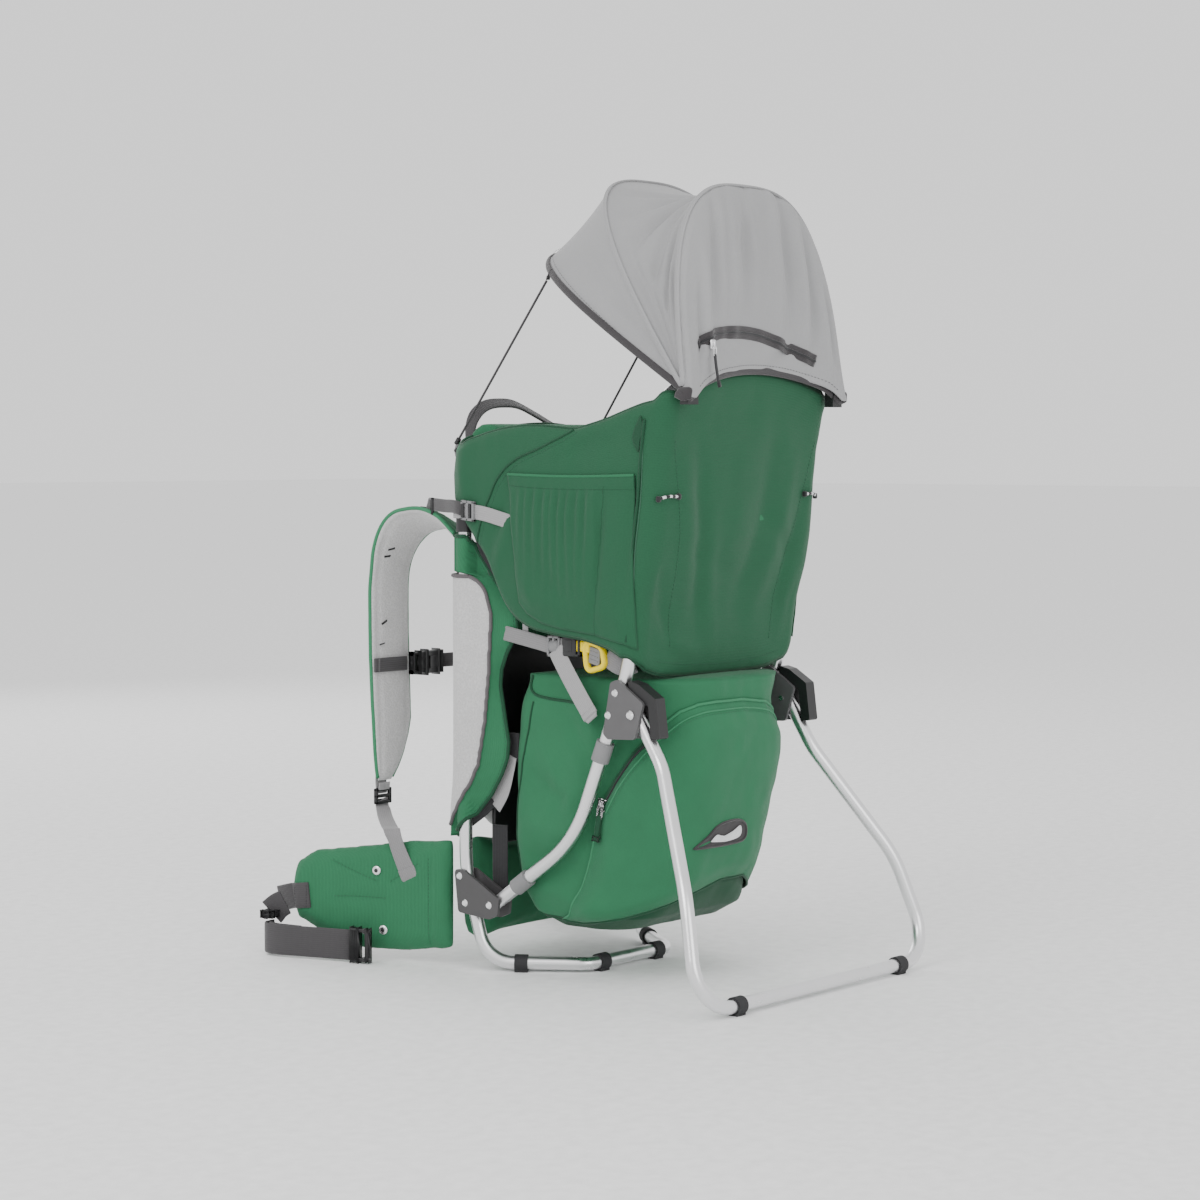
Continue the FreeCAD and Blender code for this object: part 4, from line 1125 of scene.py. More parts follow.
def bag_inset(a, z):
    """Room that the bag leaves behind its rear pocket."""
    return 9.0 * ease((236 - abs(a)) / 60) * ease((z - 84) / 40) * ease((354 - z) / 26)


BAG_COLUMNS = 300
BAG_LOW, BAG_HIGH = 62, 362


def bag_point(a, z, lift=0.0):
    p, n = bag_outline(a, z)
    return p + n * (bag_push(a, z) - bag_inset(a, z) + lift)


def bag_ring(i, j):
    z = BAG_LOW + (BAG_HIGH - BAG_LOW) * (j / 60)
    return bag_point((i / BAG_COLUMNS * 2 - 1) * bag_length(z), z)


def drawn_in(ring, y, z, f, rise):
    """A ring of the bag shrunk to the share `f` about (y, z), as a level of its floor or lid."""
    return [V(0, y, z) + (p - V(0, y, p.z)) * f + V(0, 0, rise) for p in ring]


rows = grid(61, BAG_COLUMNS, bag_ring)
bottom = [drawn_in(rows[0], 98, 58, k / 6, 4 * (k / 6) ** 3 - 2 * (1 - k / 6)) for k in range(1, 7)]
top = [drawn_in(rows[-1], 120, 362, k / 6, 5 * (1 - (k / 6) ** 3)) for k in range(5, 0, -1)]
first, last = drawn_in(rows[0], 98, 56, 0.01, 0), drawn_in(rows[-1], 120, 367, 0.01, 0)
bag = skin("bag_body", [first] + bottom[:-1] + rows + top + [last], [GREEN], wrap=True, flip=True)
wrap_up(bag, ROOT, "green_fabric", "lower_pack")
BAG_TREE = surface(bag)


# Rear pocket, wrapped round both rear corners of the bag.
def pocket_point(i, j):
    a = -186 + 372 * i / 160
    high, low = table(POCKET_TOP, a), table(DARK_TOP, a) - 2
    z = low + (high - low) * j / 60
    return bag_point(a, z, pocket_push(a, z) + 1.6)


rows = grid(61, 161, pocket_point)
pocket = skin("bag_pocket", rows, [GREEN, LINING], thick=1.4, flip=True)
wrap_up(pocket, ROOT, "green_fabric", "rear_pocket")
POCKET_TREE = surface(pocket)
POCKET_ROWS = rows


def bag_lay(points, tree, lift=0.5, step=3.0):
    """(arc length, z) seam points laid on the bag or on its pocket."""
    out = []
    for q in curve([V(a, 0, z) for a, z in points], step):
        p, n = bag_outline(q.x, q.z)
        out += lay_on(tree, [p], -n, lift)
    return out


seams = Kit()
seams.tube([r[0] for r in POCKET_ROWS], 1.5, sides=8)
seams.tube([r[-1] for r in POCKET_ROWS], 1.5, sides=8)
seams.tube(POCKET_ROWS[-1], 1.8, sides=8)
inner = [(a * 0.955, z - 10) for a, z in POCKET_TOP]
seams.tube(bag_lay(inner, POCKET_TREE, 0.3), 1.1, sides=8)
stitches(seams, bag_lay([(a * 0.94, z - 13.5) for a, z in POCKET_TOP], POCKET_TREE, 0.2), SEAM, 2)
seams.tube(bag_lay([(-330, 96), (-260, 76), (-190, 72), (-120, 92), (-60, 117)], BAG_TREE, 0.3), 1.6, 1,
           sides=8)
seams.tube(bag_lay([(330, 96), (260, 76), (210, 72), (150, 70), (110, 84)], BAG_TREE, 0.3), 1.6, 1, sides=8)
seams.tube(POCKET_ROWS[0], 1.6, 1, sides=8)
for s in (1, -1):
    flap = [(s * 311, 361), (s * 315, 349), (s * 306, 339), (s * 284, 335), (s * 250, 333), (s * 214, 331)]
    seams.tube(bag_lay(flap, BAG_TREE, 0.5), 1.7, 1, sides=8)
    seams.tube(bag_lay([(s * 306, 330), (s * 312, 250), (s * 306, 170), (s * 290, 96)], BAG_TREE, 0.2), 1.2,
               1, sides=8)
seams.place("bag_seams", [PIPING, DARK_GREEN, THREAD_GREEN], "green_fabric")


# Dark base panel under the bag, from the floor of the bag up to its own seam at the rear.
def base_point(i, j):
    share = i / BAG_COLUMNS * 2 - 1
    high = table(DARK_TOP, share * bag_length(72))
    z = BAG_LOW + max(1.0, high - BAG_LOW) * (j / 24)
    return bag_point(share * bag_length(z), z, 0.9)


rows = grid(25, BAG_COLUMNS, base_point)
base = skin("bag_base_panel", rows, [DARK_GREEN], thick=0.6, wrap=True, flip=True)
wrap_up(base, ROOT, "green_fabric")

# Pocket zip: tape and coil from the near lower end up round the corner, with its slider.
for s in (1, -1):
    zip_line = [(s * 178, 214), (s * 164, 250), (s * 149, 276), (s * 124, 300)]
    kit = Kit()
    path = bag_lay(zip_line, POCKET_TREE, 0.4, 2.5)
    normals = [bag_outline(s * 160, 240)[1]] * len(path)
    kit.tube(path, 4.4, flat=0.16, up=normals)
    kit.tube(bag_lay(zip_line, POCKET_TREE, 1.0, 1.5), 1.3, 1, sides=8, flat=0.7, up=V(s, 0, 0))
    kit.place("pocket_zip_" + ("left" if s > 0 else "right"), [DARK_GREEN, WEB_BLACK], "green_fabric")

ZIP_END = bag_lay([(178, 214), (176, 222)], POCKET_TREE, 2.6)[0]
out = bag_outline(178, 214)[1]
tall = V(0, 0.17, 0.98)
wide = out.cross(tall)
kit = Kit()
kit.block(ZIP_END, (wide, tall, out), (9, 12, 4), 1.4)
kit.block(ZIP_END + out * 2.6, (wide, tall, out), (2.4, 8, 2.2), 0.9)
kit.frame_ring(ZIP_END + out * 3.4 - tall * 9, (tall, wide, out), (13, 7), 1.4, 1.4, bevel=0.5)
kit.band(curve([ZIP_END + out * 3.6 - tall * 13, ZIP_END + out * 4 - tall * 26,
                ZIP_END + out * 3.8 - tall * 40], 2), wide, 6.5, 2.0, 1)
kit.block(ZIP_END + out * 3.8 - tall * 41, (wide, tall, out), (7.5, 5, 3), 1.4, 1)
kit.place("pocket_slider", [ZIP_METAL, DARK_GREEN], "zip_metal", "pocket_zip_slider", body="pocket_slider")

# Slanted dark patch with a plain bright strip, low on the pocket.
patch = [(62, 163), (44, 176), (34, 187), (12, 192), (-14, 190), (-26, 180), (-24, 166), (10, 163)]
strip = [(38, 170), (30, 177), (18, 174), (2, 178), (-12, 184), (-14, 172), (10, 168)]
kit = Kit()
for outline, lift, index in ((patch, 0.9, 0), (strip, 1.7, 1)):
    ring = bag_lay(outline + outline[:1], POCKET_TREE, lift, 3.0)[:-1]
    heart = sum(ring, Vector()) / len(ring) + V(0, lift * 0.2, 0)
    centre = kit.bm.verts.new(heart)
    verts = [kit.bm.verts.new(p) for p in ring]
    for a, b in zip(verts, verts[1:] + verts[:1]):
        face = kit.bm.faces.new((a, b, centre))
        face.material_index = index
        face.smooth = True
    kit.tube(ring, 1.5 if index == 0 else 0.7, index, sides=8, cyclic=True)
kit.place("pocket_patch", [BINDING, REFLECTIVE], "green_fabric")


# ---- padded pieces --------------------------------------------------------------
CLAY_VOXEL = 0.005


def clay(name, node):
    """Remeshed copy of a CAD node as a start for a padded piece."""
    mesh = NODES[node].data.copy()
    obj = link_object(name, mesh)
    weld = obj.modifiers.new("Weld", "WELD")
    weld.merge_threshold = 0.00002
    remesh = obj.modifiers.new("Remesh", "REMESH")
    remesh.mode = "VOXEL"
    remesh.voxel_size = CLAY_VOXEL
    return bake(obj)


# How far the cloth run may blow each pad up, in millimetres.
PAD_LIMITS = {
    "chin_pad": 7, "headrest_pad": 8, "front_wall_pad": 7, "back_pad_left": 6, "lumbar_pad": 8,
    "hip_fin_left": 5, "seat_pad": 6,
}


PUFF_FRAMES = 20
CLOTH = {"quality": 5, "mass": 0.3, "tension_stiffness": 12, "compression_stiffness": 12,
         "bending_stiffness": 0.4, "use_pressure": True, "uniform_pressure_force": 4.0}


def puff(objs, limits):
    """Blow each closed mesh up a little with one cloth run, capped at its own limit in millimetres."""
    starts = [[v.co.copy() for v in obj.data.vertices] for obj in objs]
    for obj in objs:
        mod = obj.modifiers.new("Cloth", "CLOTH")
        for key, value in CLOTH.items():
            setattr(mod.settings, key, value)
        mod.settings.effector_weights.gravity = 0
        mod.point_cache.frame_start = 1
        mod.point_cache.frame_end = PUFF_FRAMES
    scene = bpy.context.scene
    for f in range(1, PUFF_FRAMES + 1):
        scene.frame_set(f)
    graph = bpy.context.evaluated_depsgraph_get()
    for obj, begin, limit in zip(objs, starts, limits):
        mesh = bpy.data.meshes.new_from_object(obj.evaluated_get(graph))
        cap = limit / 1000
        for v, start in zip(mesh.vertices, begin):
            move = v.co - start
            if move.length > cap:
                v.co = start + move * (cap / move.length)
        obj.modifiers.clear()
        obj.data = mesh
    scene.frame_set(1)


PADS = {node: clay("soft_" + node.replace("_left", ""), node) for node in PAD_LIMITS}
puff(list(PADS.values()), list(PAD_LIMITS.values()))


def press(obj, lines, width, depth):
    """Sink sewn channels into a pad along polylines given in millimetres."""
    channel = [metres(p) for line in lines for p in straight(line, 3.0)]
    near = width * 2.2 / 1000
    for v in obj.data.vertices:
        best = min((v.co - q).length for q in channel)
        if best < near:
            v.co -= v.normal * (depth / 1000 * bump(best * 1000, width))


def finish_pad(obj, mats):
    cover(obj.data, mats)
    smooth = obj.modifiers.new("Smooth", "SMOOTH")
    smooth.factor = 0.5
    smooth.iterations = 3
    obj.modifiers.new("Subdivide", "SUBSURF").levels = 1
    bake(obj)
    obj.data.polygons.foreach_set("use_smooth", [True] * len(obj.data.polygons))
    return obj


def mirror_piece(obj, name):
    mesh = obj.data.copy()
    for v in mesh.vertices:
        v.co.x = -v.co.x
    mesh.flip_normals()
    return link_object(name, mesh)


def sewn_pad(node, lines, width, depth, body=ROOT, slot="green_fabric"):
    """A pad that stays whole: its channels pressed in, covered and placed."""
    pad = PADS[node]
    press(pad, lines, width, depth)
    finish_pad(pad, [GREEN_SOFT])
    wrap_up(pad, body, slot, node)
    return pad


def both_pads(left, name, body, slot, node):
    """Ride a finished left pad and its mirror image, each for its own CAD node."""
    right = mirror_piece(left, name + "_right")
    left.name = name + "_left"
    for obj, word in ((left, "left"), (right, "right")):
        where = body if isinstance(body, str) else body[word]
        wrap_up(obj, where, slot, node.replace("SIDE", word))
    return left, right


# Back pads: a crowned column of mesh over foam, with two pressed channels; its outer edge tucks
# under the side wrap.
WRAP_START = 110.0
pad = PADS["back_pad_left"]
for v in pad.data.vertices:
    past = v.co.x - WRAP_START / 1000
    if past > 0:
        v.co.x -= past * 0.5
press(pad, [[(26, -90, 382), (124, -90, 376)], [V(26, -90, 268), V(124, -90, 262)]], 5, 4.0)
finish_pad(pad, [MESH])
BACK_PAD_TREE = surface(pad)
both_pads(pad, "back_cushion", ROOT, "mesh_fabric", "back_pad_SIDE")

# (z, y) of the piping between mesh and green panel, and of the green panel's rear edge.
WRAP_PIPING = [(172, -84), (190, -72), (209, -59), (230, -44), (252, -33), (303, -23), (362, -17),
               (432, -13), (463, -23), (472, -31), (478, -46)]
FLANK_REAR = [(160, -80), (186, -52), (214, -25), (240, -8), (260, 1), (280, 3), (300, -1), (347, -10),
              (367, -8), (388, 1), (404, 12), (415, 18), (432, 16), (450, 3), (469, -14), (509, -48),
              (526, -54)]


def wrap_edge(z):
    """Profile round the outer edge of a back pad at one height."""
    y0 = lay_on(BACK_PAD_TREE, [V(WRAP_START, -100, z)], Y, 0.4, keep=True)[0].y
    low = 6 * bump(z - 180, 40)
    keys = [V(WRAP_START, y0, z), V(120, y0 - 0.6, z), V(130, -91.5, z), V(141 + low, -87, z),
            V(150 + low * 0.6, -78, z), V(156.4, -67, z), V(157.6, -58, z), V(156.4, -46, z),
            V(154.6, -30, z), V(153, -8, z)]
    return curve(keys, 1.5)


def cut_at(profile, y):
    """The part of a profile in front of `y`."""
    out = [p for p in profile if p.y < y]
    return out if len(out) > 3 else profile[:4]


def make_wrap(side, word):
    """Mesh gusset, green side panel and the edging that joins them."""
    mesh_rows, green_rows, border, rear_edge = [], [], [], []
    for j in range(77):
        z = 160 + 366 * j / 76
        profile = wrap_edge(min(max(z, 172), 478))
        profile = [V(p.x, p.y, z) for p in profile]
        seam_y = table(WRAP_PIPING, z) if z < 478 else -88.0
        front = spaced(cut_at(profile, seam_y), 30)
        if 172 <= z <= 478:
            mesh_rows.append([V(side * (p.x + 0.5 * wave(p.y / 20, z / 22, 4.0)), p.y, z) for p in front])
            border.append(V(side * front[-1].x, front[-1].y, z))
        rear_y = table(FLANK_REAR, z)
        start = front[-1]
        line = []
        for k in range(31):
            f = k / 30
            y = start.y + (max(rear_y, start.y + 2) - start.y) * f
            x = start.x - 1.0 + (141.5 - start.x) * f
            over = 10.8 ** 2 - (y + 62) ** 2
            x = max(x, 146 + math.sqrt(over) if over > 0 else 0)
            x += 1.1 * wave(y / 18, z / 26, 5.0) * math.sin(math.pi * f)
            line.append(V(side * x, y, z))
        green_rows.append(line)
        rear_edge.append(line[-1])
    gusset = skin("back_gusset_" + word, mesh_rows, [MESH], thick=3.0, flip=side < 0)
    wrap_up(gusset, ROOT, "mesh_fabric")
    flank = skin("back_flank_" + word, green_rows, [GREEN, LINING], thick=3.0, flip=side < 0)
    wrap_up(flank, ROOT, "green_fabric", *(["back_side_panels"] if side > 0 else []))
    kit = Kit()
    kit.tube(border, 2.2)
    kit.tube(mesh_rows[-1], 2.2)
    kit.tube(spaced([row[0] for row in mesh_rows], 90), 1.7, sides=8)
    kit.tube(mesh_rows[0], 1.8, sides=8)
    kit.tube(rear_edge, 2.2, 1)
    kit.tube(green_rows[-1], 2.2, 1)
    inner = [row[26] + V(side * 0.3, 0, 0) for row in green_rows[4:-3]]
    stitches(kit, inner, SEAM, 2)
    kit.place("back_edging_" + word, [PIPING_GREY, DARK_GREEN, THREAD_GREEN], "green_fabric")


for side, word in SIDES:
    make_wrap(side, word)


def side_webs(kit):
    """Dark webs that join the back panel to the cabin, the bag and the hip belt."""
    kit.band(curve([(141, -40, 535), (141, -27, 508), (141, -6, 474), (141, 22, 438)], 3), V(0, 0.8, 0.55),
             30, 1.6)
    kit.band([(142.6, 32, 442), (142.6, 32, 432), (142.6, 32, 420), (142.6, 32, 410)], Y, 9, 1.6, 1)
    kit.band(curve([(129, 2, 290), (130, 2, 272), (130, 0, 256)], 2), Y, 15, 1.8)
    kit.band(curve([(131, 0, 262), (131.5, -6, 244), (132, -16, 220), (132.5, -30, 202)], 2), V(0, 1, 0.3),
             lambda f: 15 + 15 * f, 1.8, 1)
    kit.band(curve([(133, -28, 206), (135, -42, 192), (138, -55, 182), (140, -66, 174)], 2), V(0, 0.6, 0.8),
             11, 1.8)
    kit.band(curve([(124, -26, 176), (125, -25, 150), (125, -25, 120), (124, -25, 96)], 3), Y, 25, 1.8)


pair(side_webs, "side_webs", [WEB_BLACK, WEB_LIGHT], ROOT, "grey_webbing")


# Lumbar pad, with four upright channels on the wearer's side.
sewn_pad("lumbar_pad", [[(x, -106, 146), (x, -108, 90), (x, -100, 36)] for x in (-60, -20, 20, 60)], 6,
         4.0)


# ---- hip belt -------------------------------------------------------------------
def fin_point(s, z, out):
    """Point `s` along the splayed hip fin, `out` from its outer face."""
    a = math.radians(15.0)
    return V(152 + s * math.sin(a) + out * math.cos(a), -70 - s * math.cos(a) + out * math.sin(a), z)


def fin_curve(places, step):
    return curve([fin_point(*place) for place in places], step)


FIN_ALONG = (fin_point(1, 0, 0) - fin_point(0, 0, 0)).normalized()
FIN_OUT = (fin_point(0, 0, 1) - fin_point(0, 0, 0)).normalized()
HIPS = {word: "hip_" + word for side, word in SIDES}

pad = PADS["hip_fin_left"]
press(pad, [[fin_point(36, 130, 3), fin_point(36, 26, 3)], [fin_point(100, 77, 3), fin_point(172, 75, 3)],
            [fin_point(112, 98, 3), fin_point(172, 118, 3)], [fin_point(92, 98, 3), fin_point(52, 122, 3)]],
      3.2, 3.0)
finish_pad(pad, [GREEN_SOFT, MESH])
for polygon in pad.data.polygons:
    if polygon.normal.dot(FIN_OUT) < -0.55:
        polygon.material_index = 1
FIN_TREE = surface(pad)
both_pads(pad, "hip_cushion", HIPS, "green_fabric", "hip_fin_SIDE")


def fin_lay(points, lift=0.4, step=3.0):
    """(s, z) points laid on the fin's outer face."""
    return lay_on(FIN_TREE, curve([fin_point(s, z, 12) for s, z in points], step), -FIN_OUT, lift)


def fin_trim(kit):
    rows = ([(38.6, 132), (38.6, 80), (38.6, 24)], [(98, 79.2), (136, 79.2), (174, 77.2)],
            [(112, 100.2), (142, 110.2), (174, 122.2)], [(92, 100.2), (72, 112.2), (50, 126.2)])
    for line in rows:
        stitches(kit, fin_lay(line), FIN_SEAM)
    for s, z in ((110, 113), (101, 40)):
        at = fin_lay([(s, z), (s + 1, z)], 0.0)[0]
        kit.disc(at, FIN_OUT, 6.0, 2.6, 1)
        kit.disc(at + FIN_OUT * 2.4, FIN_OUT, 2.6, 1.0, 2)


pair(fin_trim, "hip_fin_trim", [THREAD_GREEN, STEEL, BLACK], HIPS, "green_fabric")


def hip_web(kit):
    """Sewn patch at the tip, then round the ladder lock and back along the outside to the buckle."""
    patch = fin_lay([(206, 76), (232, 73)], 1.2)
    kit.band(patch + [fin_point(252, 68, 1.5)], (UP + FIN_ALONG * 0.1), 32, 2.0)
    kit.band(fin_curve([(244, 64, 1.6), (254, 58, 2.6), (262, 50, 5)], 2), UP + FIN_ALONG * 0.3,
             lambda f: 32 + 4 * f, 1.8, 0)
    loop = fin_curve([(256, 23, 4), (262, 22, 10), (263, 22, 17), (259, 22, 24),
                  (248, 22, 29), (226, 22, 31.5), (190, 22, 29.5), (136, 22, 26.5)], 3)
    kit.band(loop, UP, 38, 2.0)
    tail = fin_curve([(252, 24, 27), (236, 23, 29), (206, 22, 27)], 3)
    kit.band(tail, UP, 38, 1.8)
    for s in (140, 145):
        at = fin_point(s, 22, 26.6 + 1.3)
        stitches(kit, [at + UP * -15, at + UP * 15], BELT_TACK, 1)
    for s, z0, z1 in ((210, 60, 90), (227, 59, 87)):
        stitches(kit, fin_lay([(s, z0), (s, z1)], 2.6), BELT_TACK, 1)


pair(hip_web, "hip_web", [WEB_DARK, THREAD], HIPS, "grey_webbing", ["hip_webbing_SIDE"])


def hip_buckle(kit):
    axes = (FIN_ALONG, UP, FIN_OUT)
    lock = fin_point(260, 46, 9)
    kit.frame_ring(lock + UP * 4, (FIN_OUT, FIN_ALONG, UP), (22, 17), 4.2, 8, bevel=1.2)
    kit.block(lock + UP * 2 + FIN_ALONG * 2, (FIN_OUT, FIN_ALONG, UP), (20, 4, 6), 1.2)
    plug = fin_point(121, 23, 26.5)
    kit.block(plug + FIN_ALONG * 7, axes, (11, 42, 9), 1.6)
    kit.frame_ring(plug - FIN_ALONG * 2.0, axes, (22, 41), 5.0, 7, bevel=1.2)
    for k in range(5):
        kit.block(plug + FIN_ALONG * (2.6 + 2.2 * k) + FIN_OUT * 4.6, axes, (1.1, 36, 1.2), 0.4)
    for s in (-1, 1):
        kit.block(plug + UP * (17.5 * s) - FIN_ALONG * 9, axes, (8, 4.2, 5), 1.2, 1)


pair(hip_buckle, "belt_buckle", [BLACK, GREY], HIPS, "black_plastic", ["hip_buckle_SIDE"])


# ---- shoulder straps ------------------------------------------------------------
STRAP_LINE = [(-93, 514), (-104, 524), (-122, 538), (-144, 545), (-168, 545), (-192, 538), (-211, 520),
              (-223, 496), (-229, 466), (-230, 420), (-229, 370), (-227, 325), (-224, 280), (-222, 245),
              (-221, 216)]
# Inner and outer edge of the strap at each height, as (z, x).
STRAP_INNER = [(200, 118), (215, 114), (222, 109), (234, 100), (250, 91), (270, 82), (292, 75.5), (330, 74)]
STRAP_OUTER = [(200, 134), (215, 136), (232, 138.5), (255, 140)]
STRAP_BANK = math.radians(22)      # outer edge raised over the shoulder
TIP_X = 126.0
STRAP_STEPS, STRAP_RING = 130, 44


def strap_rings():
    path = spaced(curve([V(0, y, z) for y, z in STRAP_LINE], 3.0), STRAP_STEPS)
    along = tangents(path)
    rings = []
    for i, (p, t) in enumerate(zip(path, along)):
        out = t.cross(X).normalized()
        f = i / STRAP_STEPS
        inner, outer = table(STRAP_INNER, p.z), table(STRAP_OUTER, p.z)
        p = V((inner + outer) / 2, p.y, p.z)
        half = (outer - inner) / 2 - max(0.0, 4 - 40 * f)
        bank = STRAP_BANK * (1 - ease((f - 0.22) / 0.2))
        across = V(math.cos(bank), 0, 0) + out * math.sin(bank)
        out = out * math.cos(bank) - V(math.sin(bank), 0, 0)
        tip = min(1.0, 0.35 + min(f, 1 - f) * 24)
        ring = []
        for k in range(STRAP_RING):
            a = 2 * math.pi * k / STRAP_RING
            c, s = math.cos(a), math.sin(a)
            x = math.copysign(abs(c) ** 0.8, c) * half
            deep = 6.4 if s < 0 else 5.4
            y = math.copysign(abs(s) ** 0.6, s) * deep * tip
            seam = bump(abs(x) - half * 0.72, 3.2) * 1.6 * tip
            y -= math.copysign(seam, s) * (abs(s) > 0.2)
            y += 0.5 * wave(x / 14, f * 24, 2.0 + (s > 0)) * tip
            ring.append(p + across * x + out * y)
        rings.append(ring)
    return rings


def make_strap(side, word):
    rings = strap_rings()
    ends = [(ring, ring[0].lerp(ring[STRAP_RING // 2], 0.5)) for ring in (rings[0], rings[-1])]
    caps = [[heart.lerp(p, 0.02) for p in ring] for ring, heart in ends]
    rows = caps[:1] + rings + caps[1:]
    rows = [[sided(p, side) for p in row] for row in rows]
    strap = skin("shoulder_pad_" + word, rows, [GREEN, MESH], wrap=True, flip=side < 0)
    for polygon in strap.data.polygons:
        if polygon.index % STRAP_RING >= STRAP_RING // 2:
            polygon.material_index = 1
    wrap_up(strap, ROOT, "green_fabric", "shoulder_strap_" + word)


for side, word in SIDES:
    make_strap(side, word)


def strap_trim(kit):
    """Edge binding, stitching, bar tacks and the small loops sewn to a shoulder strap."""
    rings = strap_rings()
    for k in (0, STRAP_RING // 2):
        edge = [ring[k] for ring in rings[2:-1]]
        kit.tube(edge, 2.4)
    path = [ring[0].lerp(ring[STRAP_RING // 2], 0.5) for ring in rings]
    along = tangents(path)
    for i, dx, turn in ((72, 14, 0.5), (80, 18, 0.2), (86, 12, 0.7), (44, 10, 0.3), (47, 14, 0.1)):
        edge = (rings[i][0] - path[i]).normalized()
        inward = -along[i].cross(edge).normalized()
        cross = (edge + along[i] * turn).normalized()
        kit.block(path[i] + edge * dx + inward * 6.0, (cross, inward.cross(cross), inward), (9, 1.8, 1.4),
                  0.5, 1)
    # Upper web of the load adjuster, sewn across the crown.
    kit.band(curve([(96, -150, 548), (112, -152, 554.4), (122, -150, 558.8)], 2), Y, 18, 1.8, 2)
    stitches(kit, [(99, -157, 550.6), (99, -144, 550.6)], WEB_TACK, 1)
    # Rail for the chest strap, down the outer face.
    rail = [ring[STRAP_RING // 4] for i, ring in enumerate(rings) if 300 < path[i].z < 430 and i > 50]
    kit.band(rail, X, 12, 1.6, 3)


pair(strap_trim, "shoulder_trim", [PIPING, THREAD, WEB_BLACK, WEB_BLACK], ROOT, "green_fabric")


def adjusters(kit):
    """Load adjusters from the strap's crown to a ladder lock on the cabin's side."""
    line = curve([(118, -152, 559.5), (128, -140, 563), (140, -117, 563), (150, -92, 562), (159, -72, 562),
                  (163.4, -60, 561), (163.6, -51, 559)], 3)
    kit.band(line, [V(0, 0.5, 0.87), UP, UP, UP, UP], 16, 1.8, 1)
    tail = curve([(163.6, -50, 557), (162.4, -30, 555.5), (162.6, -12, 553), (162, 12, 547.5),
                  (162, 35, 542.5)], 3)
    kit.band(tail, V(0, 0.16, 0.99), 17.5, 1.6)
    kit.band(tail[-3:], V(0, 0.16, 0.99), 17.5, 3.0)
    kit.band(curve([(160.5, -52, 557), (160, -60, 556), (157.5, -70, 556)], 2), UP, 17, 1.8)


pair(adjusters, "load_adjuster", [WEB_LIGHT, WEB_DARK], ROOT, "grey_webbing", ["load_adjuster_webbing"])


def ladder_locks(kit):
    side_axes = (V(0, 1, -0.1), UP, X)
    kit.frame_ring((164, -40.5, 557), side_axes, (21, 24), 3.4, 5.5, 1, bevel=1.0, slots=2)
    kit.block((166.2, -48, 557), side_axes, (5, 17, 2.0), 0.8)
    kit.block((165.8, -36, 557), side_axes, (2.6, 17, 2.6), 0.8)
    slant = (V(0.62, 0.78, 0), UP, V(0.78, -0.62, 0))
    kit.frame_ring((134.5, -128.5, 561), slant, (18, 21), 3.4, 4.0, bevel=1.0, slots=2)
    axes = (UP, X, V(0, -1, 0))
    kit.frame_ring((TIP_X, -222.8, 196), axes, (20, 28), 4.2, 5, bevel=1.2, slots=2)
    kit.block((TIP_X, -226.4, 201.5), axes, (6, 21, 2.4), 1.0, 1)
    kit.block((TIP_X, -225.8, 190), axes, (4, 19, 2.4), 1.0)


pair(ladder_locks, "ladder_locks", [BLACK, GREY], ROOT, "grey_plastic", ["strap_buckles"])


def lower_loop(kit):
    """Light loop that hangs the ladder lock from the strap's tip."""
    loop = [(-225.5, 226), (-226, 212), (-224, 203), (-221, 204), (-219.5, 213)]
    kit.band(curve([V(TIP_X, y, z) for y, z in loop], 2), X, 20, 1.6)


pair(lower_loop, "strap_tip_loop", [WEB_LIGHT], ROOT, "grey_webbing")

TOP_OF_WEB, KNEE, END_OF_WEB = V(TIP_X, -223, 184), fin_point(88, 162, 5), fin_point(64, 104, 1.8)
for side, word in SIDES:
    kit = Kit()
    line = curve([V(TIP_X, -224, 191), TOP_OF_WEB, TOP_OF_WEB.lerp(KNEE, 0.35) + V(0, -1.5, -3),
                  TOP_OF_WEB.lerp(KNEE, 0.75) + V(0, -1, -2), KNEE,
                  KNEE.lerp(END_OF_WEB, 0.4) + FIN_OUT * 2.4, END_OF_WEB + FIN_OUT * 1.4], 3)
    across = [V(-1, 0, 0), V(-1, 0.1, 0), V(-0.9, 0.5, 0), V(-0.6, 0.8, 0), -FIN_ALONG, -FIN_ALONG + UP * 0.3,
              -FIN_ALONG + UP * 0.45]
    kit.band(line, across, lambda f: 20 + 3 * ease((f - 0.6) * 2.5), 2.0)
    kit.band(line[-6:], -FIN_ALONG + UP * 0.45, 24, 3.0)
    web = kit.make("lower_web_" + word, [WEB_MID], mirror=side < 0)
    wrap_up(web, None, "grey_webbing", "strap_webbing_" + word)
    low, high = V(side * KNEE.x, KNEE.y, KNEE.z), V(side * TOP_OF_WEB.x, TOP_OF_WEB.y, TOP_OF_WEB.z)
    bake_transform(web)

# Chest strap: two webs, socket and tongue.
CHEST_Y, CHEST_Z = -212.3, 361
UPRIGHT = (X, UP, Y)
chest = Kit()
for side, ends in ((1, (142, 86)), (-1, (-142, 30))):
    line = [V(x, -218.6 - 0.6 * math.sin((x - ends[1]) / 20), CHEST_Z) for x in
            [ends[0] + (ends[1] - ends[0]) * k / 40 for k in range(41)]]
    chest.band(line, UP, 18, 1.9)
for x in (141, -141):
    chest.band([(x - 6, -219.6, CHEST_Z), (x + 1, -219.6, CHEST_Z)], UP, 18, 3.4)
chest.band([V(x, -216.8, CHEST_Z + 0.3) for x in (28, 0, -28, -52)], UP, 17.6, 1.5)
chest.place("chest_strap", [WEB_DARK], "grey_webbing", "sternum_webbing")

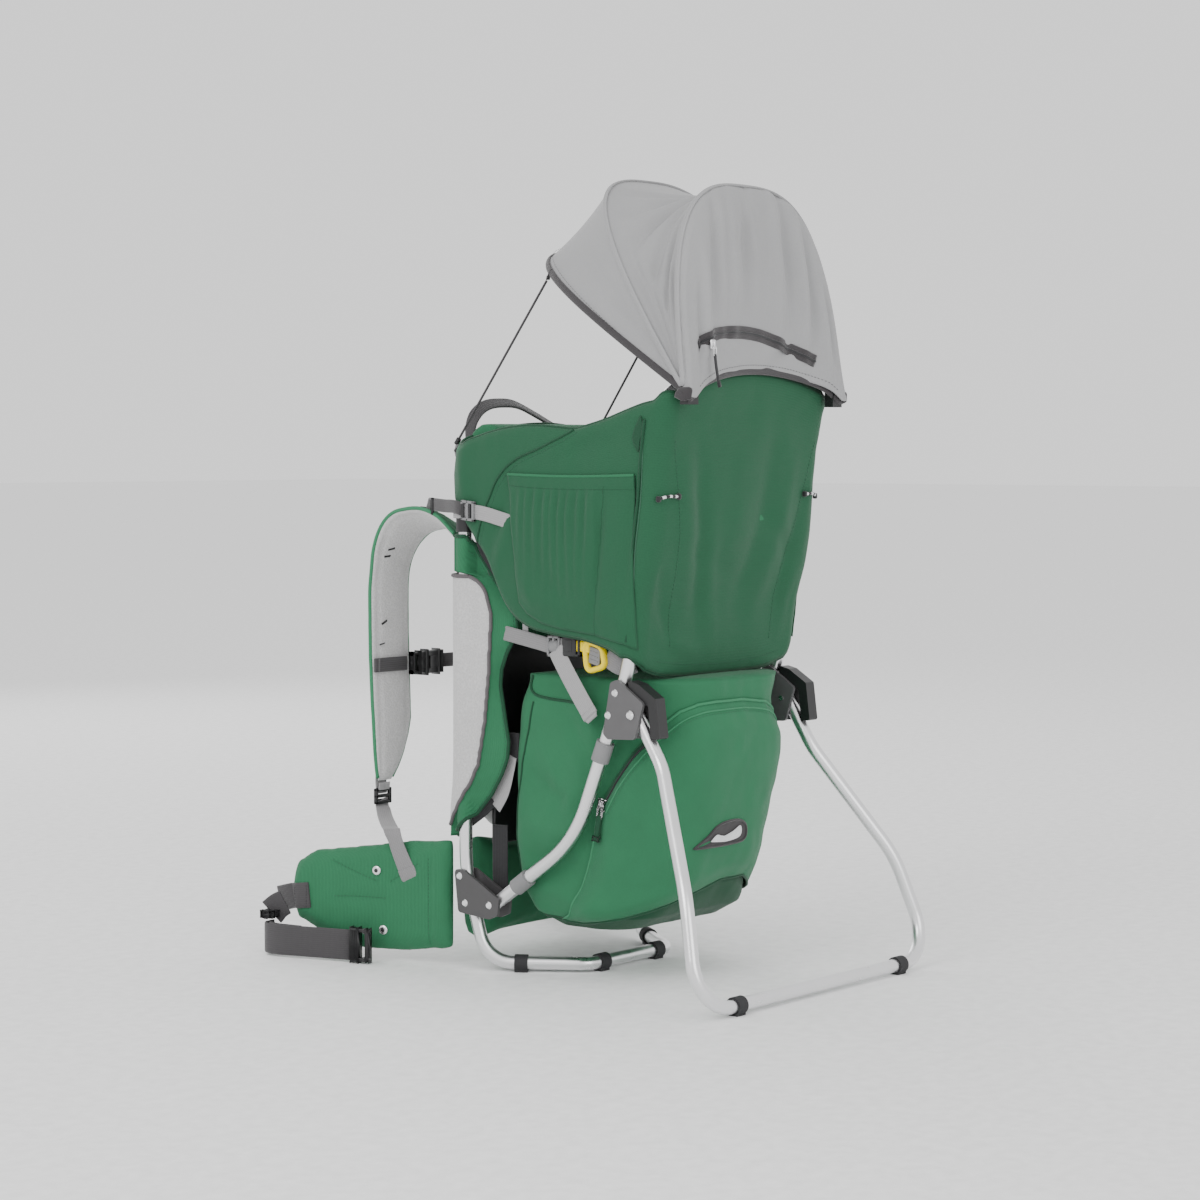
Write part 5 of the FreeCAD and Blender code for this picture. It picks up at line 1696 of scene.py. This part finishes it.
socket = Kit()
socket.block((50, CHEST_Y, CHEST_Z), UPRIGHT, (21, 29, 11), 2.2)
socket.frame_ring((36, CHEST_Y, CHEST_Z), UPRIGHT, (13, 27), 3.4, 6, bevel=1.0)
socket.block((50, CHEST_Y + 5.4, CHEST_Z), UPRIGHT, (13, 15, 1.6), 1.0)
socket.place("chest_socket", [BLACK], "black_plastic", "sternum_socket")
tongue = Kit()
tongue.block((66.5, CHEST_Y, CHEST_Z), UPRIGHT, (11, 27, 9), 2.0)
tongue.frame_ring((77.5, CHEST_Y, CHEST_Z), UPRIGHT, (15, 27), 3.4, 6, bevel=1.0)
for z in (354.5, 367.5):
    tongue.block((54, CHEST_Y, z), UPRIGHT, (18, 4.6, 4.6), 1.4)
    tongue.block((67, CHEST_Y + 4.2, z), UPRIGHT, (7, 1.2, 1.6), 0.5)
tongue.place("chest_tongue", [BLACK], "black_plastic", "sternum_tongue", body="sternum_tongue")


# ---- top of the front wall ------------------------------------------------------
CHIN_TREE = surface(sewn_pad("chin_pad", [[(-112, -80, 634), (112, -80, 634)]], 5, 3.0))
sewn_pad("front_wall_pad", [[(x, -22, 594), (x, -22, 402)] for x in (-60, 0, 60)], 7, 4.0)
sewn_pad("headrest_pad", [[(-110, 214, z), (110, 214, z)] for z in (640, 574)], 7, 4.0)
sewn_pad("seat_pad", [[(x, 4, 410), (x, 140, 410)] for x in (-24, 24)], 6, 3.0, "child_seat",
         "seat_fabric")

piping = Kit()
for s in (1, -1):
    rim = [V(s * x, y, z) for x, y, z in ((0, -79, 655), (60, -79, 655), (104, -78, 653), (117, -74, 645),
                                          (120, -70, 628))]
    piping.tube(lay_on(CHIN_TREE, curve(rim, 3), Y, 0.4), 1.5, sides=8)
piping.place("chin_piping", [DARK_GREEN], "green_fabric")

handle = Kit()
line = curve([(100, -92, 626), (100, -94, 634), (97, -98, 656), (84, -101, 674), (62, -103, 685),
              (34, -104, 688), (6, -104, 686), (-30, -102, 673), (-62, -100, 659.5), (-88, -97, 648.5),
              (-97, -95, 640), (-100, -92, 628)], 3)
flat, banked = Y, V(0, -0.74, 0.67)
handle.band(line, [-flat, -flat, banked, banked, banked, banked, banked, banked, banked, banked, -flat], 16,
            3.2)
stitches(handle, [p + V(0, 0.67, 0.74) * 1.7 + banked * 5.6 for p in line[16:-14]], HANDLE_SEAM, 1)
for s in (1, -1):
    stitches(handle, [(s * 101.8, -96.5, 631), (s * 101.8, -96.5, 641)], HANDLE_TACK, 1)
handle.place("carry_handle", [WEB_DARK, THREAD], "handle_webbing", "grab_handle")


def cord_hooks(kit):
    """Hook, cord-end ball and small slider where the elastic meets the front rim."""
    kit.tube([CORD_END + along * -1.2, CORD_END + along * 1.4],
             lambda f: 4.2 * math.sin(math.pi * (0.18 + 0.64 * f)) ** 0.5, sides=16)
    kit.tube(curve([(127, -92, 637), (127, -94.6, 630), (127, -93, 622), (127, -89.6, 619),
                    (127, -87.5, 625)], 1.5), 2.0, 1)
    kit.band(curve([(127, -91, 632), (127, -90.6, 622), (127, -89, 617)], 2), X, 8, 1.4, 2)
    kit.block((127, -92, 629), (X, Y, UP), (9, 5, 4), 1.2)


pair(cord_hooks, "cord_hook", [BLACK, GREY, WEB_DARK], ROOT, "black_plastic", ["cord_hooks"])

# ---- child harness --------------------------------------------------------------
harness = Kit()
route = curve([(40, 212, 620), (40, 196, 606), (40, 178, 588), (40, 165, 556), (40, 157, 520), (40, 160, 484),
               (40, 168, 456), (40, 188, 444), (40, 206, 440)], 3)
for s in (1, -1):
    harness.band([sided(p, s) for p in route], X, 20, 2.0)
    pad_line = [V(s * p.x, p.y - 3.0, p.z) for p in route if 540 < p.z < 606]
    harness.tube(pad_line, lambda f: 17 * (0.35 + 0.65 * math.sin(math.pi * min(0.92, max(0.08, f))) ** 0.4),
                 1, sides=18, flat=0.26, up=Y)
harness.place("harness_straps", [WEB_DARK, GREEN_SOFT], "grey_webbing", "child_harness_straps")
lock = Kit()
lock.block((0, 150.8, 519), UPRIGHT, (52, 22, 7.0), 2.6)
lock.disc((0, 147.4, 519), -Y, 7.0, 1.6, 1)
for s in (1, -1):
    lock.frame_ring((s * 40, 151.4, 519), UPRIGHT, (30, 21), 4.0, 5.5, bevel=1.2)
lock.place("harness_buckle", [BLACK, GREY], "black_plastic", "child_harness_buckle")

lift = Kit()
line = curve([(0, -18, 398), (0, -19.2, 430), (0, -18.8, 480), (0, -19.4, 530), (0, -18, 558)], 4)
lift.band(line, X, 25, 1.8)
lift.band(line[:5], X, 25, 3.2)
lift.band(line[-5:], X, 25, 3.2)
for z in (404, 548):
    stitches(lift, [(-9, -20.4, z), (9, -20.4, z)], WEB_TACK, 1)
lift.place("seat_lift", [WEB_DARK, THREAD], "grey_webbing", "seat_lift_strap", body="child_seat")


# ---- side entry buckles ---------------------------------------------------------
def entry_sockets(kit):
    axes = (Y, UP, X)
    kit.block((145, 106, 401), axes, (20, 26, 11.5), 2.4)
    kit.frame_ring((145, 117.5, 401), axes, (9, 25), 3.2, 10, bevel=1.0)
    kit.frame_ring((145, 97.5, 400), axes, (7, 24), 2.6, 7, bevel=1.0)
    kit.block((150.8, 106, 401), axes, (11, 14, 1.4), 0.8)
    kit.tube([(145, 72, 399), (145, 75, 399), (145, 85, 399), (145, 88, 399)],
             lambda f: 4.2 + 3.6 * math.sin(math.pi * f) ** 0.5, 1, sides=14, flat=0.72, up=X)
    kit.frame_ring((145, 80, 399), axes, (20, 25), 3.2, 7, 1, bevel=1.0, slots=2)


pair(entry_sockets, "entry_socket", [BLACK, GREY], ROOT, "black_plastic", ["side_entry_sockets"])


def entry_straps(kit):
    kit.band(curve([(145, 96, 400), (145.6, 92, 400), (145, 86, 399.5)], 1.5), UP, 18, 1.8)
    kit.band(curve([(144.8, 72, 399), (144.4, 56, 402), (145, 30, 406.5), (145.4, 0, 411.5),
                    (145, -31, 416)], 3), V(0, 0.15, 1), 18, 1.8, 0)
    tail = curve([(147.6, 84, 396), (148.6, 88, 390), (147.8, 100, 371), (147, 118, 345), (147, 140, 316)],
                 2.5)
    kit.band(tail, V(0, 0.8, 0.6), lambda f: 24 - 7 * ease((f - 0.93) * 14), 1.6, 1)
    kit.band(tail[-6:-2], V(0, 0.8, 0.6), 24.5, 2.6, 1)


pair(entry_straps, "entry_strap", [WEB_MID, WEB_LIGHT], ROOT, "grey_webbing", ["side_entry_straps"])


def entry_tongue(kit):
    corners = [V(145, 127, 408), V(145, 154, 401.5), V(145, 158, 379), V(145, 131, 371.5)]
    ring = []
    for i, p in enumerate(corners):
        before, after = corners[i - 1], corners[(i + 1) % 4]
        a, b = p.lerp(before, 0.30), p.lerp(after, 0.30)
        for k in range(7):
            t = k / 6
            ring.append(a.lerp(p, t).lerp(p.lerp(b, t), t))
    kit.tube(ring, 3.6, sides=12, cyclic=True, flat=1.45, up=X)
    middle = sum(corners, Vector()) / 4
    kit.block(middle, (V(0, 1, -0.24), V(0, 0.12, 1), X), (17, 20, 5.0), 1.6, 1)
    for k in (-1, 0, 1):
        kit.block(middle + V(2.8, 0, 5.0 * k), (V(0, 1, -0.24), V(0, 0.12, 1), X), (12, 1.4, 1.0), 0.4, 1)
    kit.block((145, 131, 401), (Y, UP, X), (9, 15, 8), 1.8)
    kit.block((145, 118, 401), (Y, UP, X), (18, 13, 6.4), 1.6)


pair(entry_tongue, "entry_tongue", [YELLOW, GREY], {word: "entry_tongue_" + word for side, word in SIDES},
     "yellow_plastic", ["side_entry_tongue_SIDE"])


def entry_anchor(kit):
    """Short web from the yellow frame to the cabin's floor."""
    kit.band(curve([(143, 158, 391), (142, 168, 385), (138, 180, 380), (132, 190, 384)], 2.5), V(0, 0.1, 1),
             24, 1.8)


pair(entry_anchor, "entry_anchor", [WEB_MID], ROOT, "grey_webbing")
